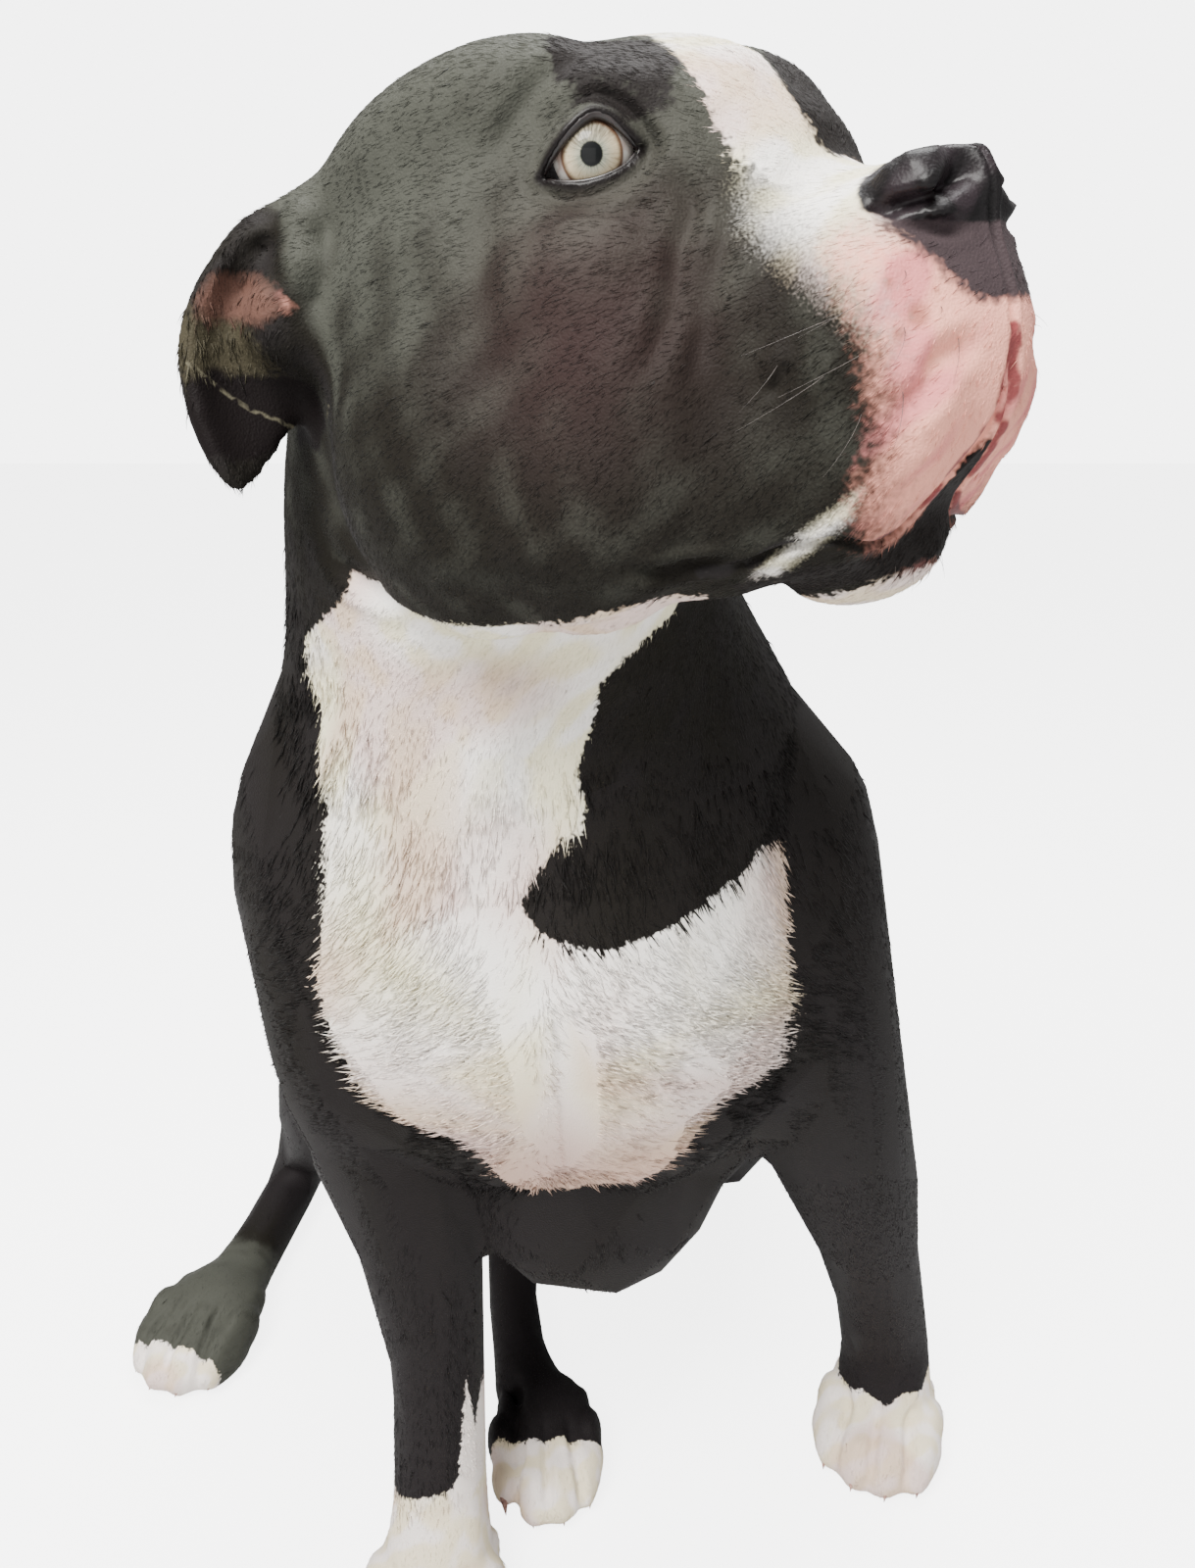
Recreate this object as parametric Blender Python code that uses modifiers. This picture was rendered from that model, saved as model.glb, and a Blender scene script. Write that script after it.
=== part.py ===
"""Seated bully-type dog, life size, head turned to its left and raised.

Metres, +Z up. The dog faces -Y and its left side is +X. The body is built
whole from lofted tubes and ellipsoid muscle forms, fused to one skin, set on
the floor and then parted with thin cuts into its named parts.
"""

import math

import bmesh
import bpy
from mathutils import Matrix, Vector

# Making the skin
VOXEL = 0.003
SMOOTH_STEPS = 6
TARGET_TRIANGLES = 4150
HEAD_WEIGHT = 0.3
HEAD_REACH = 0.15
ANKLE_HEIGHT = 0.05
FEET_SHARE = 0.6
RING_POINTS = 28
STEPS_PER_SPAN = 6
GAP = 0.0004
FLOOR_SINK = 0.3
BIG = 0.6

# Head pose: its middle, and how it is turned, raised and tipped
HEAD_AT = Vector((0.010, 0.393, 0.665))
HEAD_TURN = math.radians(49.0)
HEAD_RAISE = math.radians(17.0)
HEAD_TIP = math.radians(-2.5)

# Driving sizes
EYE_RADIUS = 0.0118
EYE_FORWARD = 0.0335
EYE_ASIDE = 0.0426
EYE_ABOVE = 0.0315
EAR_THICKNESS = 0.0052
EAR_SWING = {-1: 0.0, 1: 0.35}
EAR_CUT = 0.100
TOES = 4

COAT_GREY = (0.055, 0.052, 0.055, 1.0)
COAT_HEAD = (0.10, 0.095, 0.088, 1.0)
COAT_WHITE = (0.72, 0.66, 0.60, 1.0)
EYE_CREAM = (0.55, 0.47, 0.33, 1.0)
COAT_ROUGHNESS = 0.75
EYE_ROUGHNESS = 0.08


def head_axes():
    """Forward, left and up directions of the head."""
    forward = Vector((
        math.sin(HEAD_TURN) * math.cos(HEAD_RAISE),
        -math.cos(HEAD_TURN) * math.cos(HEAD_RAISE),
        math.sin(HEAD_RAISE),
    ))
    left = Vector((math.cos(HEAD_TURN), math.sin(HEAD_TURN), 0.0))
    up = forward.cross(left)
    tip = Matrix.Rotation(-HEAD_TIP, 3, forward)
    return forward, tip @ left, tip @ up


FORWARD, LEFT, UP = head_axes()


def head_point(forward, aside, above):
    """World place of a point given in the head's own directions."""
    return HEAD_AT + forward * FORWARD + aside * LEFT + above * UP


def material(name, colour, roughness):
    """A plain Principled material."""
    made = bpy.data.materials.new(name)
    made.use_nodes = True
    shader = made.node_tree.nodes["Principled BSDF"]
    shader.inputs["Base Color"].default_value = colour
    shader.inputs["Roughness"].default_value = roughness
    shader.inputs["Metallic"].default_value = 0.0
    return made


def new_object(name, shape, collection):
    """An object that holds a bmesh, which is freed."""
    mesh = bpy.data.meshes.new(name)
    shape.to_mesh(mesh)
    shape.free()
    made = bpy.data.objects.new(name, mesh)
    collection.objects.link(made)
    return made


def spline(points, steps):
    """Catmull-Rom values through a list of equal-length tuples."""
    values = [Vector(point) for point in points]
    first = values[0] * 2 - values[1]
    last = values[-1] * 2 - values[-2]
    padded = [first] + values + [last]
    result = []
    for span in range(len(values) - 1):
        a, b, c, d = padded[span:span + 4]
        for step in range(steps):
            t = step / steps
            result.append(0.5 * (
                2 * b + (c - a) * t + (2 * a - 5 * b + 4 * c - d) * t ** 2
                + (3 * b - a - 3 * c + d) * t ** 3
            ))
    result.append(values[-1])
    return result


def add_rings(shape, rings):
    """Joins closed rings of points into a capped tube."""
    rows = [[shape.verts.new(point) for point in ring] for ring in rings]
    for lower, upper in zip(rows, rows[1:]):
        for i in range(len(lower)):
            j = (i + 1) % len(lower)
            shape.faces.new((lower[i], lower[j], upper[j], upper[i]))
    shape.faces.new(list(reversed(rows[0])))
    shape.faces.new(rows[-1])


def power(value, exponent):
    """Signed power, which squares off an ellipse."""
    return math.copysign(abs(value) ** exponent, value)


def add_tube(shape, stations, side, squareness=2.2):
    """Lofts an oval tube with round ends.

    A station is (x, y, z, half width along side, half depth across it).
    """
    rows = [list(station) for station in stations]
    path = spline([row[:3] for row in rows], STEPS_PER_SPAN)
    sizes = spline([row[3:] + [0.0] for row in rows], STEPS_PER_SPAN)
    exponent = 2.0 / squareness
    rings = []
    count = len(path)
    for index in range(count):
        before = path[max(index - 1, 0)]
        after = path[min(index + 1, count - 1)]
        along = (after - before).normalized()
        across = (side - along * side.dot(along)).normalized()
        other = along.cross(across)
        ends = [(0.0, 1.0)]
        if index == 0:
            ends = [(-0.8, 0.3), (-0.55, 0.7), (-0.2, 0.95), (0.0, 1.0)]
        if index == count - 1:
            ends = [(0.0, 1.0), (0.2, 0.95), (0.55, 0.7), (0.8, 0.3)]
        for shift, shrink in ends:
            width, depth = sizes[index][0] * shrink, sizes[index][1] * shrink
            centre = path[index] + along * shift * min(sizes[index][:2])
            rings.append([
                centre
                + across * width * power(math.cos(a), exponent)
                + other * depth * power(math.sin(a), exponent)
                for a in (math.tau * k / RING_POINTS for k in range(RING_POINTS))
            ])
    add_rings(shape, rings)


def add_blob(shape, centre, radii, axes=None):
    """Adds an ellipsoid with its radii along three axes."""
    axes = axes or (Vector((1, 0, 0)), Vector((0, 1, 0)), Vector((0, 0, 1)))
    columns = [axis * radius for axis, radius in zip(axes, radii)]
    matrix = Matrix([list(column) for column in columns]).transposed().to_4x4()
    matrix.translation = centre
    bmesh.ops.create_uvsphere(
        shape, u_segments=24, v_segments=16, radius=1.0, matrix=matrix)


def turned_axes(degrees, pitch=0.0):
    """Side, length and height directions, turned about Z then pitched."""
    turn = Matrix.Rotation(math.radians(degrees), 3, "Z")
    turn = turn @ Matrix.Rotation(math.radians(pitch), 3, "X")
    return [turn @ Vector(axis) for axis in ((1, 0, 0), (0, 1, 0), (0, 0, 1))]


def add_head_blob(shape, place, radii, both_sides=True):
    """Adds an ellipsoid in the head's directions, and its mirror twin."""
    forward, aside, above = place
    for side in ((1, -1) if both_sides else (1,)):
        add_blob(shape, head_point(forward, aside * side, above), radii,
                 (FORWARD, LEFT, UP))


def add_skull(shape):
    """Cranium, jaw and muzzle as one loft from the nape to the lips."""
    # forward, half width, top, bottom
    outline = (
        (-0.086, 0.060, 0.056, -0.050),
        (-0.062, 0.076, 0.066, -0.070),
        (-0.030, 0.080, 0.073, -0.084),
        (0.000, 0.073, 0.074, -0.090),
        (0.024, 0.057, 0.065, -0.088),
        (0.042, 0.044, 0.044, -0.086),
        (0.062, 0.035, 0.021, -0.084),
        (0.084, 0.031, 0.012, -0.080),
        (0.102, 0.025, 0.006, -0.070),
    )
    stations = []
    for forward, half, top, bottom in outline:
        centre = head_point(forward, 0.0, (top + bottom) / 2)
        stations.append((*centre, half, (top - bottom) / 2))
    add_tube(shape, stations, LEFT, 2.4)


def add_face_forms(shape):
    """Muscles, brows, flews, chin and nose."""
    add_head_blob(shape, (-0.022, 0.034, 0.053), (0.058, 0.036, 0.025))
    add_head_blob(shape, (-0.030, 0.054, -0.034), (0.052, 0.037, 0.053))
    add_head_blob(shape, (0.004, 0.050, -0.052), (0.048, 0.030, 0.040))
    add_head_blob(shape, (0.010, 0.052, -0.004), (0.044, 0.021, 0.026))
    add_head_blob(shape, (0.016, 0.046, -0.032), (0.044, 0.028, 0.044))
    add_head_blob(shape, (0.056, 0.026, -0.030), (0.034, 0.022, 0.040))
    add_head_blob(shape, (0.034, 0.033, 0.044), (0.018, 0.018, 0.012))
    add_head_blob(shape, (0.044, 0.026, 0.038), (0.017, 0.017, 0.013))
    add_head_blob(shape, (0.044, 0.034, -0.016), (0.030, 0.016, 0.034))
    add_head_blob(shape, (0.040, 0.032, -0.058), (0.040, 0.024, 0.034))
    add_head_blob(shape, (0.082, 0.019, -0.038), (0.032, 0.023, 0.044))
    add_head_blob(shape, (0.066, 0.028, -0.060), (0.034, 0.018, 0.032))
    add_head_blob(shape, (0.098, 0.010, -0.036), (0.020, 0.022, 0.030))
    add_head_blob(shape, (0.064, 0.0, -0.088), (0.026, 0.024, 0.016), False)
    add_head_blob(shape, (0.108, 0.0, -0.006), (0.0150, 0.0195, 0.0130), False)


def add_ear(shape, side):
    """A folded ear: a cupped sheet swept back and hanging to its tip."""
    front = ((-0.046, 0.070, 0.050), (-0.064, 0.090, 0.046), (-0.082, 0.104, 0.026),
             (-0.084, 0.108, 0.002), (-0.086, 0.106, -0.016), (-0.089, 0.103, -0.030))
    back = ((-0.066, 0.056, 0.064), (-0.082, 0.082, 0.052), (-0.097, 0.102, 0.028),
            (-0.100, 0.106, 0.000), (-0.098, 0.104, -0.018), (-0.093, 0.102, -0.031))
    lower = ((-0.078, 0.056, 0.010), (-0.084, 0.066, 0.004), (-0.088, 0.072, -0.006),
             (-0.090, 0.080, -0.016), (-0.092, 0.090, -0.026), (-0.092, 0.100, -0.033))
    rails = [spline(rail, STEPS_PER_SPAN) for rail in (front, back, lower)]
    swing = EAR_SWING[side]
    rows = []
    for trio in zip(*rails):
        arc = spline([tuple(point) for point in trio], STEPS_PER_SPAN)
        rows.append([])
        for forward, aside, above in arc:
            spread = max(0.0, aside - 0.066) * swing
            place = head_point(forward + spread * 0.4, side * (aside + spread), above)
            rows[-1].append(shape.verts.new(place))
    faces = []
    for near, far in zip(rows, rows[1:]):
        for i in range(len(near) - 1):
            faces.append(shape.faces.new((near[i], near[i + 1], far[i + 1], far[i])))
    bmesh.ops.recalc_face_normals(shape, faces=faces)
    bmesh.ops.solidify(shape, geom=faces, thickness=EAR_THICKNESS)
    add_blob(shape, head_point(-0.070, side * 0.076, 0.022), (0.014, 0.016, 0.014),
             (FORWARD, LEFT, UP))


def add_neck(shape):
    """Thick neck from the skull down to between the shoulders."""
    add_tube(shape, (
        (-0.030, 0.432, 0.660, 0.072, 0.072),
        (-0.036, 0.456, 0.605, 0.084, 0.078),
        (-0.034, 0.476, 0.552, 0.094, 0.084),
        (-0.026, 0.498, 0.498, 0.112, 0.094),
        (-0.018, 0.520, 0.440, 0.120, 0.102),
    ), Vector((1, 0, 0)))


def add_trunk(shape):
    """Rib cage, belly and pelvis, and the breast between the forelegs."""
    add_tube(shape, (
        (-0.014, 0.462, 0.400, 0.098, 0.092),
        (-0.013, 0.520, 0.372, 0.122, 0.128),
        (-0.010, 0.578, 0.328, 0.124, 0.138),
        (-0.004, 0.645, 0.268, 0.116, 0.122),
        (0.002, 0.710, 0.208, 0.110, 0.102),
        (0.006, 0.775, 0.150, 0.114, 0.092),
        (0.008, 0.830, 0.108, 0.104, 0.086),
    ), Vector((1, 0, 0)), 2.3)
    add_blob(shape, Vector((-0.040, 0.446, 0.372)), (0.060, 0.045, 0.082))
    add_blob(shape, Vector((0.022, 0.448, 0.372)), (0.060, 0.045, 0.082))
    add_blob(shape, Vector((-0.004, 0.492, 0.270)), (0.068, 0.060, 0.080))


def add_shoulders(shape):
    """Shoulder blades and upper arms."""
    for place, radii, turn in (
        ((-0.116, 0.486, 0.440), (0.053, 0.062, 0.088), 12),
        ((-0.112, 0.470, 0.368), (0.046, 0.054, 0.080), 8),
        ((0.084, 0.502, 0.420), (0.052, 0.064, 0.086), -8),
        ((0.098, 0.494, 0.362), (0.046, 0.056, 0.082), -10),
    ):
        add_blob(shape, Vector(place), radii, turned_axes(turn))
    for aside in (-0.058, 0.032):
        add_blob(shape, Vector((aside, 0.565, 0.455)), (0.050, 0.100, 0.042),
                 turned_axes(0, -34))


def add_foot(shape, place, turn, length, width, height):
    """A paw: a low pad and four knuckled toes, pointing along its turn."""
    across, along, above = turned_axes(turn)
    middle = Vector(place)
    add_blob(shape, middle + along * length * 0.10 + above * height * 0.50,
             (width * 0.44, length * 0.36, height * 0.56), (across, along, above))
    for toe in range(TOES):
        share = (toe - (TOES - 1) / 2) / ((TOES - 1) / 2)
        reach = length * (0.14 if abs(share) > 0.9 else 0.23)
        base = middle - along * reach + across * share * width * 0.36
        lean = turned_axes(turn - share * 9.0)
        add_blob(shape, base + above * height * 0.42,
                 (width * 0.155, length * 0.22, height * 0.44), lean)
        add_blob(shape, base - lean[1] * length * 0.14 + above * height * 0.30,
                 (width * 0.125, length * 0.125, height * 0.30), lean)


def add_forelegs(shape):
    """Both forelegs from the upper arm to the paw."""
    add_tube(shape, (
        (-0.114, 0.478, 0.350, 0.044, 0.052),
        (-0.101, 0.480, 0.292, 0.0395, 0.047),
        (-0.093, 0.478, 0.245, 0.0340, 0.041),
        (-0.088, 0.474, 0.190, 0.0275, 0.033),
        (-0.086, 0.471, 0.140, 0.0250, 0.0285),
        (-0.086, 0.469, 0.098, 0.0255, 0.0270),
        (-0.087, 0.462, 0.062, 0.0265, 0.0265),
        (-0.088, 0.450, 0.036, 0.0300, 0.0300),
    ), Vector((1, 0, 0)))
    add_foot(shape, (-0.089, 0.437, 0.0), -4, 0.104, 0.080, 0.044)
    add_tube(shape, (
        (0.106, 0.494, 0.350, 0.042, 0.052),
        (0.120, 0.506, 0.292, 0.0410, 0.048),
        (0.136, 0.520, 0.245, 0.0380, 0.043),
        (0.153, 0.538, 0.190, 0.0315, 0.036),
        (0.167, 0.552, 0.140, 0.0285, 0.0310),
        (0.178, 0.562, 0.098, 0.0280, 0.0290),
        (0.184, 0.564, 0.062, 0.0280, 0.0280),
        (0.184, 0.558, 0.036, 0.0300, 0.0300),
    ), Vector((1, 0, 0)))
    add_foot(shape, (0.180, 0.548, 0.0), -20, 0.102, 0.080, 0.044)


def add_hindlegs(shape):
    """Both hind legs, folded, the feet brought forward on the right side."""
    side = Vector((0.8, 0.5, 0.3))
    add_tube(shape, (
        (-0.066, 0.812, 0.132, 0.086, 0.108),
        (-0.100, 0.752, 0.158, 0.072, 0.102),
        (-0.138, 0.694, 0.186, 0.054, 0.080),
        (-0.164, 0.648, 0.205, 0.041, 0.050),
    ), side)
    add_tube(shape, (
        (-0.166, 0.648, 0.208, 0.038, 0.042),
        (-0.190, 0.682, 0.158, 0.034, 0.040),
        (-0.217, 0.730, 0.104, 0.025, 0.031),
        (-0.240, 0.774, 0.055, 0.0185, 0.026),
        (-0.245, 0.784, 0.034, 0.0185, 0.024),
    ), side)
    add_tube(shape, (
        (-0.246, 0.786, 0.024, 0.0200, 0.0250),
        (-0.252, 0.740, 0.021, 0.0190, 0.0225),
        (-0.260, 0.690, 0.020, 0.0205, 0.0210),
        (-0.268, 0.650, 0.019, 0.0250, 0.0210),
    ), Vector((1, 0, 0)))
    add_foot(shape, (-0.276, 0.626, 0.0), -16, 0.112, 0.080, 0.043)
    add_tube(shape, (
        (0.068, 0.806, 0.132, 0.084, 0.104),
        (0.080, 0.744, 0.156, 0.068, 0.096),
        (0.082, 0.690, 0.178, 0.050, 0.074),
        (0.078, 0.650, 0.188, 0.040, 0.046),
    ), Vector((1, 0, 0)))
    add_tube(shape, (
        (0.074, 0.655, 0.182, 0.038, 0.040),
        (0.036, 0.676, 0.140, 0.034, 0.038),
        (-0.016, 0.700, 0.092, 0.026, 0.030),
        (-0.058, 0.716, 0.050, 0.019, 0.025),
        (-0.066, 0.718, 0.030, 0.0185, 0.024),
    ), Vector((0.5, 0.8, 0.3)))
    add_tube(shape, (
        (-0.066, 0.720, 0.024, 0.0200, 0.0245),
        (-0.062, 0.660, 0.021, 0.0185, 0.0220),
        (-0.053, 0.600, 0.020, 0.0190, 0.0210),
        (-0.040, 0.550, 0.019, 0.0240, 0.0210),
    ), Vector((1, 0, 0)))
    add_foot(shape, (-0.033, 0.532, 0.0), 5, 0.106, 0.072, 0.041)


def add_rump(shape):
    """Buttocks, which rest on the floor, and the tail laid behind."""
    add_blob(shape, Vector((-0.052, 0.838, 0.078)), (0.072, 0.080, 0.084))
    add_blob(shape, Vector((0.064, 0.832, 0.076)), (0.072, 0.080, 0.082))
    add_tube(shape, (
        (0.006, 0.860, 0.080, 0.030, 0.030),
        (0.012, 0.915, 0.050, 0.0235, 0.0235),
        (0.030, 0.962, 0.026, 0.0185, 0.0185),
        (0.062, 1.002, 0.014, 0.0145, 0.0150),
        (0.108, 1.028, 0.010, 0.0115, 0.0115),
        (0.156, 1.036, 0.0075, 0.0085, 0.0085),
        (0.196, 1.030, 0.005, 0.0050, 0.0055),
    ), Vector((0, 0, 1)))


def evaluated_copy(source, name, collection):
    """A new mesh object from another's evaluated shape, which is removed."""
    graph = bpy.context.evaluated_depsgraph_get()
    mesh = bpy.data.meshes.new_from_object(source.evaluated_get(graph))
    made = bpy.data.objects.new(name, mesh)
    collection.objects.link(made)
    bpy.data.objects.remove(source)
    return made


def fuse(rough, collection):
    """One skin from overlapping forms, with more triangles on the head."""
    remesh = rough.modifiers.new("fuse", "REMESH")
    remesh.mode = "VOXEL"
    remesh.voxel_size = VOXEL
    smooth = rough.modifiers.new("soften", "SMOOTH")
    smooth.factor = 0.5
    smooth.iterations = SMOOTH_STEPS
    whole = evaluated_copy(rough, "whole", collection)
    group = whole.vertex_groups.new(name="keep_detail")
    vertices = whole.data.vertices
    face = [v.index for v in vertices if (v.co - HEAD_AT).length < HEAD_REACH]
    feet = [v.index for v in vertices if v.co.z < ANKLE_HEIGHT]
    group.add(face, HEAD_WEIGHT, "REPLACE")
    group.add(feet, HEAD_WEIGHT * FEET_SHARE, "REPLACE")
    triangles = sum(len(face.vertices) - 2 for face in whole.data.polygons)
    thin = whole.modifiers.new("thin", "DECIMATE")
    thin.ratio = TARGET_TRIANGLES / triangles
    thin.vertex_group = group.name
    thin.invert_vertex_group = True
    thin.vertex_group_factor = 1.0
    return evaluated_copy(whole, "whole", collection)


def box_cutter(name, centre, half, axes, collection):
    """A hidden box with its own directions."""
    shape = bmesh.new()
    columns = [axis * size * 2.0 for axis, size in zip(axes, half)]
    matrix = Matrix([list(column) for column in columns]).transposed().to_4x4()
    matrix.translation = centre
    bmesh.ops.create_cube(shape, size=1.0, matrix=matrix)
    bmesh.ops.recalc_face_normals(shape, faces=shape.faces[:])
    made = new_object(name, shape, collection)
    made.hide_render = True
    made.display_type = "WIRE"
    return made


def ball_cutter(name, centre, radius, collection):
    """A hidden ball."""
    shape = bmesh.new()
    bmesh.ops.create_uvsphere(shape, u_segments=32, v_segments=20, radius=radius,
                              matrix=Matrix.Translation(centre))
    made = new_object(name, shape, collection)
    made.hide_render = True
    made.display_type = "WIRE"
    return made


def cut(source, cutter, operation, name, collection):
    """The exact Boolean of an object and a cutter, as a new object."""
    work = source.copy()
    work.data = source.data.copy()
    collection.objects.link(work)
    boolean = work.modifiers.new("cut", "BOOLEAN")
    boolean.operation = operation
    boolean.solver = "EXACT"
    boolean.object = cutter
    made = evaluated_copy(work, name, collection)
    shape = bmesh.new()
    shape.from_mesh(made.data)
    bmesh.ops.dissolve_degenerate(shape, edges=shape.edges[:], dist=0.00002)
    bmesh.ops.triangulate(shape, faces=shape.faces[:])
    drop_crumbs(shape)
    shape.to_mesh(made.data)
    shape.free()
    return made


def drop_crumbs(shape):
    """Removes small loose bodies that a cut leaves beside the main one."""
    left = set(shape.verts)
    bodies = []
    while left:
        queue = [left.pop()]
        body = set(queue)
        while queue:
            vertex = queue.pop()
            for edge in vertex.link_edges:
                other = edge.other_vert(vertex)
                if other in left:
                    left.discard(other)
                    body.add(other)
                    queue.append(other)
        bodies.append(body)
    bodies.sort(key=len)
    for body in bodies[:-1]:
        bmesh.ops.delete(shape, geom=list(body), context="VERTS")


def take(whole, name, centre, half, axes, parts, cutters):
    """Parts a named piece from the whole with a box, leaving a thin gap."""
    inner = box_cutter("cut_" + name, centre, half, axes, cutters)
    wider = [size + GAP for size in half]
    outer = box_cutter("gap_" + name, centre, wider, axes, cutters)
    piece = cut(whole, inner, "INTERSECT", name, parts)
    rest = cut(whole, outer, "DIFFERENCE", "whole", parts)
    bpy.data.objects.remove(whole)
    bpy.data.objects.remove(inner)
    bpy.data.objects.remove(outer)
    return piece, rest


def ear_box(side):
    """Middle, half sizes and directions of the box that takes an ear."""
    outward = (-0.75 * FORWARD + side * 0.66 * LEFT).normalized()
    rearward = (-0.66 * FORWARD - side * 0.75 * LEFT).normalized()
    centre = HEAD_AT + outward * (EAR_CUT + 0.05) - rearward * 0.03 + UP * 0.012
    return centre, (0.05, 0.040, 0.055), (outward, rearward, UP)


def part_body(whole, parts, cutters):
    """Divides the whole skin into the dog's named parts."""
    level = turned_axes(0)
    slant = (FORWARD * 0.857 + UP * 0.514).normalized()
    nape = (slant, LEFT, slant.cross(LEFT))
    back = turned_axes(0, 17)
    plan = (
        ("ear_right", *ear_box(-1)),
        ("ear_left", *ear_box(1)),
        ("head", head_point(-0.058, 0.0, -0.010) + slant * 0.20, (0.20, 0.20, 0.30), nape),
        ("neck", Vector((-0.03, 0.484, 0.535)) + back[2] * 0.20, (0.30, 0.30, 0.20), back),
        ("forepaw_right", Vector((-0.113, 0.43, 0.0)), (0.061, 0.09, 0.055), level),
        ("foreleg_right", Vector((-0.125, 0.47, 0.10)), (0.077, 0.09, 0.145), level),
        ("forepaw_left", Vector((0.18, 0.53, 0.0)), (0.07, 0.09, 0.055), level),
        ("foreleg_left", Vector((0.174, 0.50, 0.10)), (0.075, 0.10, 0.145), level),
        ("hindpaw_right", Vector((-0.28, 0.59, 0.0)), (0.08, 0.085, 0.09), level),
        ("hindleg_right", Vector((-0.29, 0.70, 0.12)), (0.165, 0.16, 0.16), level),
        ("hindpaw_left", Vector((-0.001, 0.49, 0.0)), (0.0505, 0.085, 0.09), level),
        ("hindleg_left", Vector((-0.055, 0.65, 0.0)), (0.075, 0.105, 0.095), level),
        ("tail", Vector((0.10, 1.03, 0.05)), (0.20, 0.11, 0.12), level),
    )
    pieces = []
    for name, centre, half, axes in plan:
        piece, whole = take(whole, name, centre, half, axes, parts, cutters)
        pieces.append(piece)
    whole.name = "trunk"
    pieces.append(whole)
    return pieces


def level_floor(whole, parts, cutters):
    """Cuts the resting flats at floor level."""
    below = box_cutter("floor", Vector((0, 0.7, -FLOOR_SINK)), (BIG, BIG, FLOOR_SINK),
                       turned_axes(0), cutters)
    made = cut(whole, below, "DIFFERENCE", "whole", parts)
    bpy.data.objects.remove(whole)
    bpy.data.objects.remove(below)
    return made


def make_eyes(whole, parts, cutters):
    """Cuts both sockets and returns the body and the eyeballs."""
    balls = []
    for name, side in (("eye_right", -1), ("eye_left", 1)):
        centre = head_point(EYE_FORWARD, side * EYE_ASIDE, EYE_ABOVE)
        socket = ball_cutter("socket", centre, EYE_RADIUS + GAP, cutters)
        carved = cut(whole, socket, "DIFFERENCE", "whole", parts)
        bpy.data.objects.remove(whole)
        bpy.data.objects.remove(socket)
        whole = carved
        shape = bmesh.new()
        bmesh.ops.create_uvsphere(shape, u_segments=18, v_segments=12,
                                  radius=EYE_RADIUS, matrix=Matrix.Translation(centre))
        balls.append(new_object(name, shape, parts))
    return whole, balls


def stand_on_origin(objects):
    """Moves all parts so that the middle of the footprint is the origin."""
    corners = [obj.matrix_world @ v.co for obj in objects for v in obj.data.vertices]
    low = Vector(min(c[i] for c in corners) for i in range(3))
    high = Vector(max(c[i] for c in corners) for i in range(3))
    shift = Vector((-(low.x + high.x) / 2, -(low.y + high.y) / 2, -low.z))
    for obj in objects:
        obj.data.transform(Matrix.Translation(shift))


def dress(objects):
    """Gives each part its material and smooth shading."""
    coats = {
        "eye": material("iris", EYE_CREAM, EYE_ROUGHNESS),
        "head": material("head_coat", COAT_HEAD, COAT_ROUGHNESS),
        "ear": material("ear_coat", COAT_HEAD, COAT_ROUGHNESS),
        "forepaw": material("white_coat", COAT_WHITE, COAT_ROUGHNESS),
        "hindpaw": material("paw_coat", COAT_WHITE, COAT_ROUGHNESS),
    }
    plain = material("body_coat", COAT_GREY, COAT_ROUGHNESS)
    for obj in objects:
        obj.data.materials.clear()
        obj.data.materials.append(coats.get(obj.name.split("_")[0], plain))
        obj.data.shade_smooth()


def main():
    """Builds the dog."""
    for obj in list(bpy.data.objects):
        bpy.data.objects.remove(obj)
    parts = bpy.data.collections.new("dog")
    cutters = bpy.data.collections.new("cutters")
    bpy.context.scene.collection.children.link(parts)
    bpy.context.scene.collection.children.link(cutters)
    shape = bmesh.new()
    for add in (add_skull, add_face_forms, add_neck, add_trunk, add_shoulders,
                add_forelegs, add_hindlegs, add_rump):
        add(shape)
    for side in (-1, 1):
        add_ear(shape, side)
    whole = fuse(new_object("rough", shape, parts), parts)
    whole = level_floor(whole, parts, cutters)
    whole, eyes = make_eyes(whole, parts, cutters)
    objects = part_body(whole, parts, cutters) + eyes
    stand_on_origin(objects)
    dress(objects)


main()
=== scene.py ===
"""A seated bully-type dog, life size, with its skin, coat, eyes, nose and claws."""

import logging
import math
from dataclasses import dataclass, field
from enum import Enum

import bpy
import numpy as np
from mathutils import Matrix, Vector
from mathutils.bvhtree import BVHTree


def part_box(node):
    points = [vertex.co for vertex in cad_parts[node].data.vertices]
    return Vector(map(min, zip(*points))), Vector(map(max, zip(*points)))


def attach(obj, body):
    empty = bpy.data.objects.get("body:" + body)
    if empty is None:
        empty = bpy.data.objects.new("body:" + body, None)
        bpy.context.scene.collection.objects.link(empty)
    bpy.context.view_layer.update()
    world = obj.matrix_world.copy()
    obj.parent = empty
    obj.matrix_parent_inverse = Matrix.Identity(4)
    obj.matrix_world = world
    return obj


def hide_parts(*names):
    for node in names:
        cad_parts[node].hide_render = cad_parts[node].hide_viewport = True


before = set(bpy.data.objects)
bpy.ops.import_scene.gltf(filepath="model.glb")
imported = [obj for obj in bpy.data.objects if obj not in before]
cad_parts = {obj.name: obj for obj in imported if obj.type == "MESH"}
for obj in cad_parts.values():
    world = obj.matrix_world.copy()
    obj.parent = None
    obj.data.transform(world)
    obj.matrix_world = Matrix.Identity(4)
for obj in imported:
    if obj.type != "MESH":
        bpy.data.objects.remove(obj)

LOG = logging.getLogger("dog")
BODY = "root"
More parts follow.
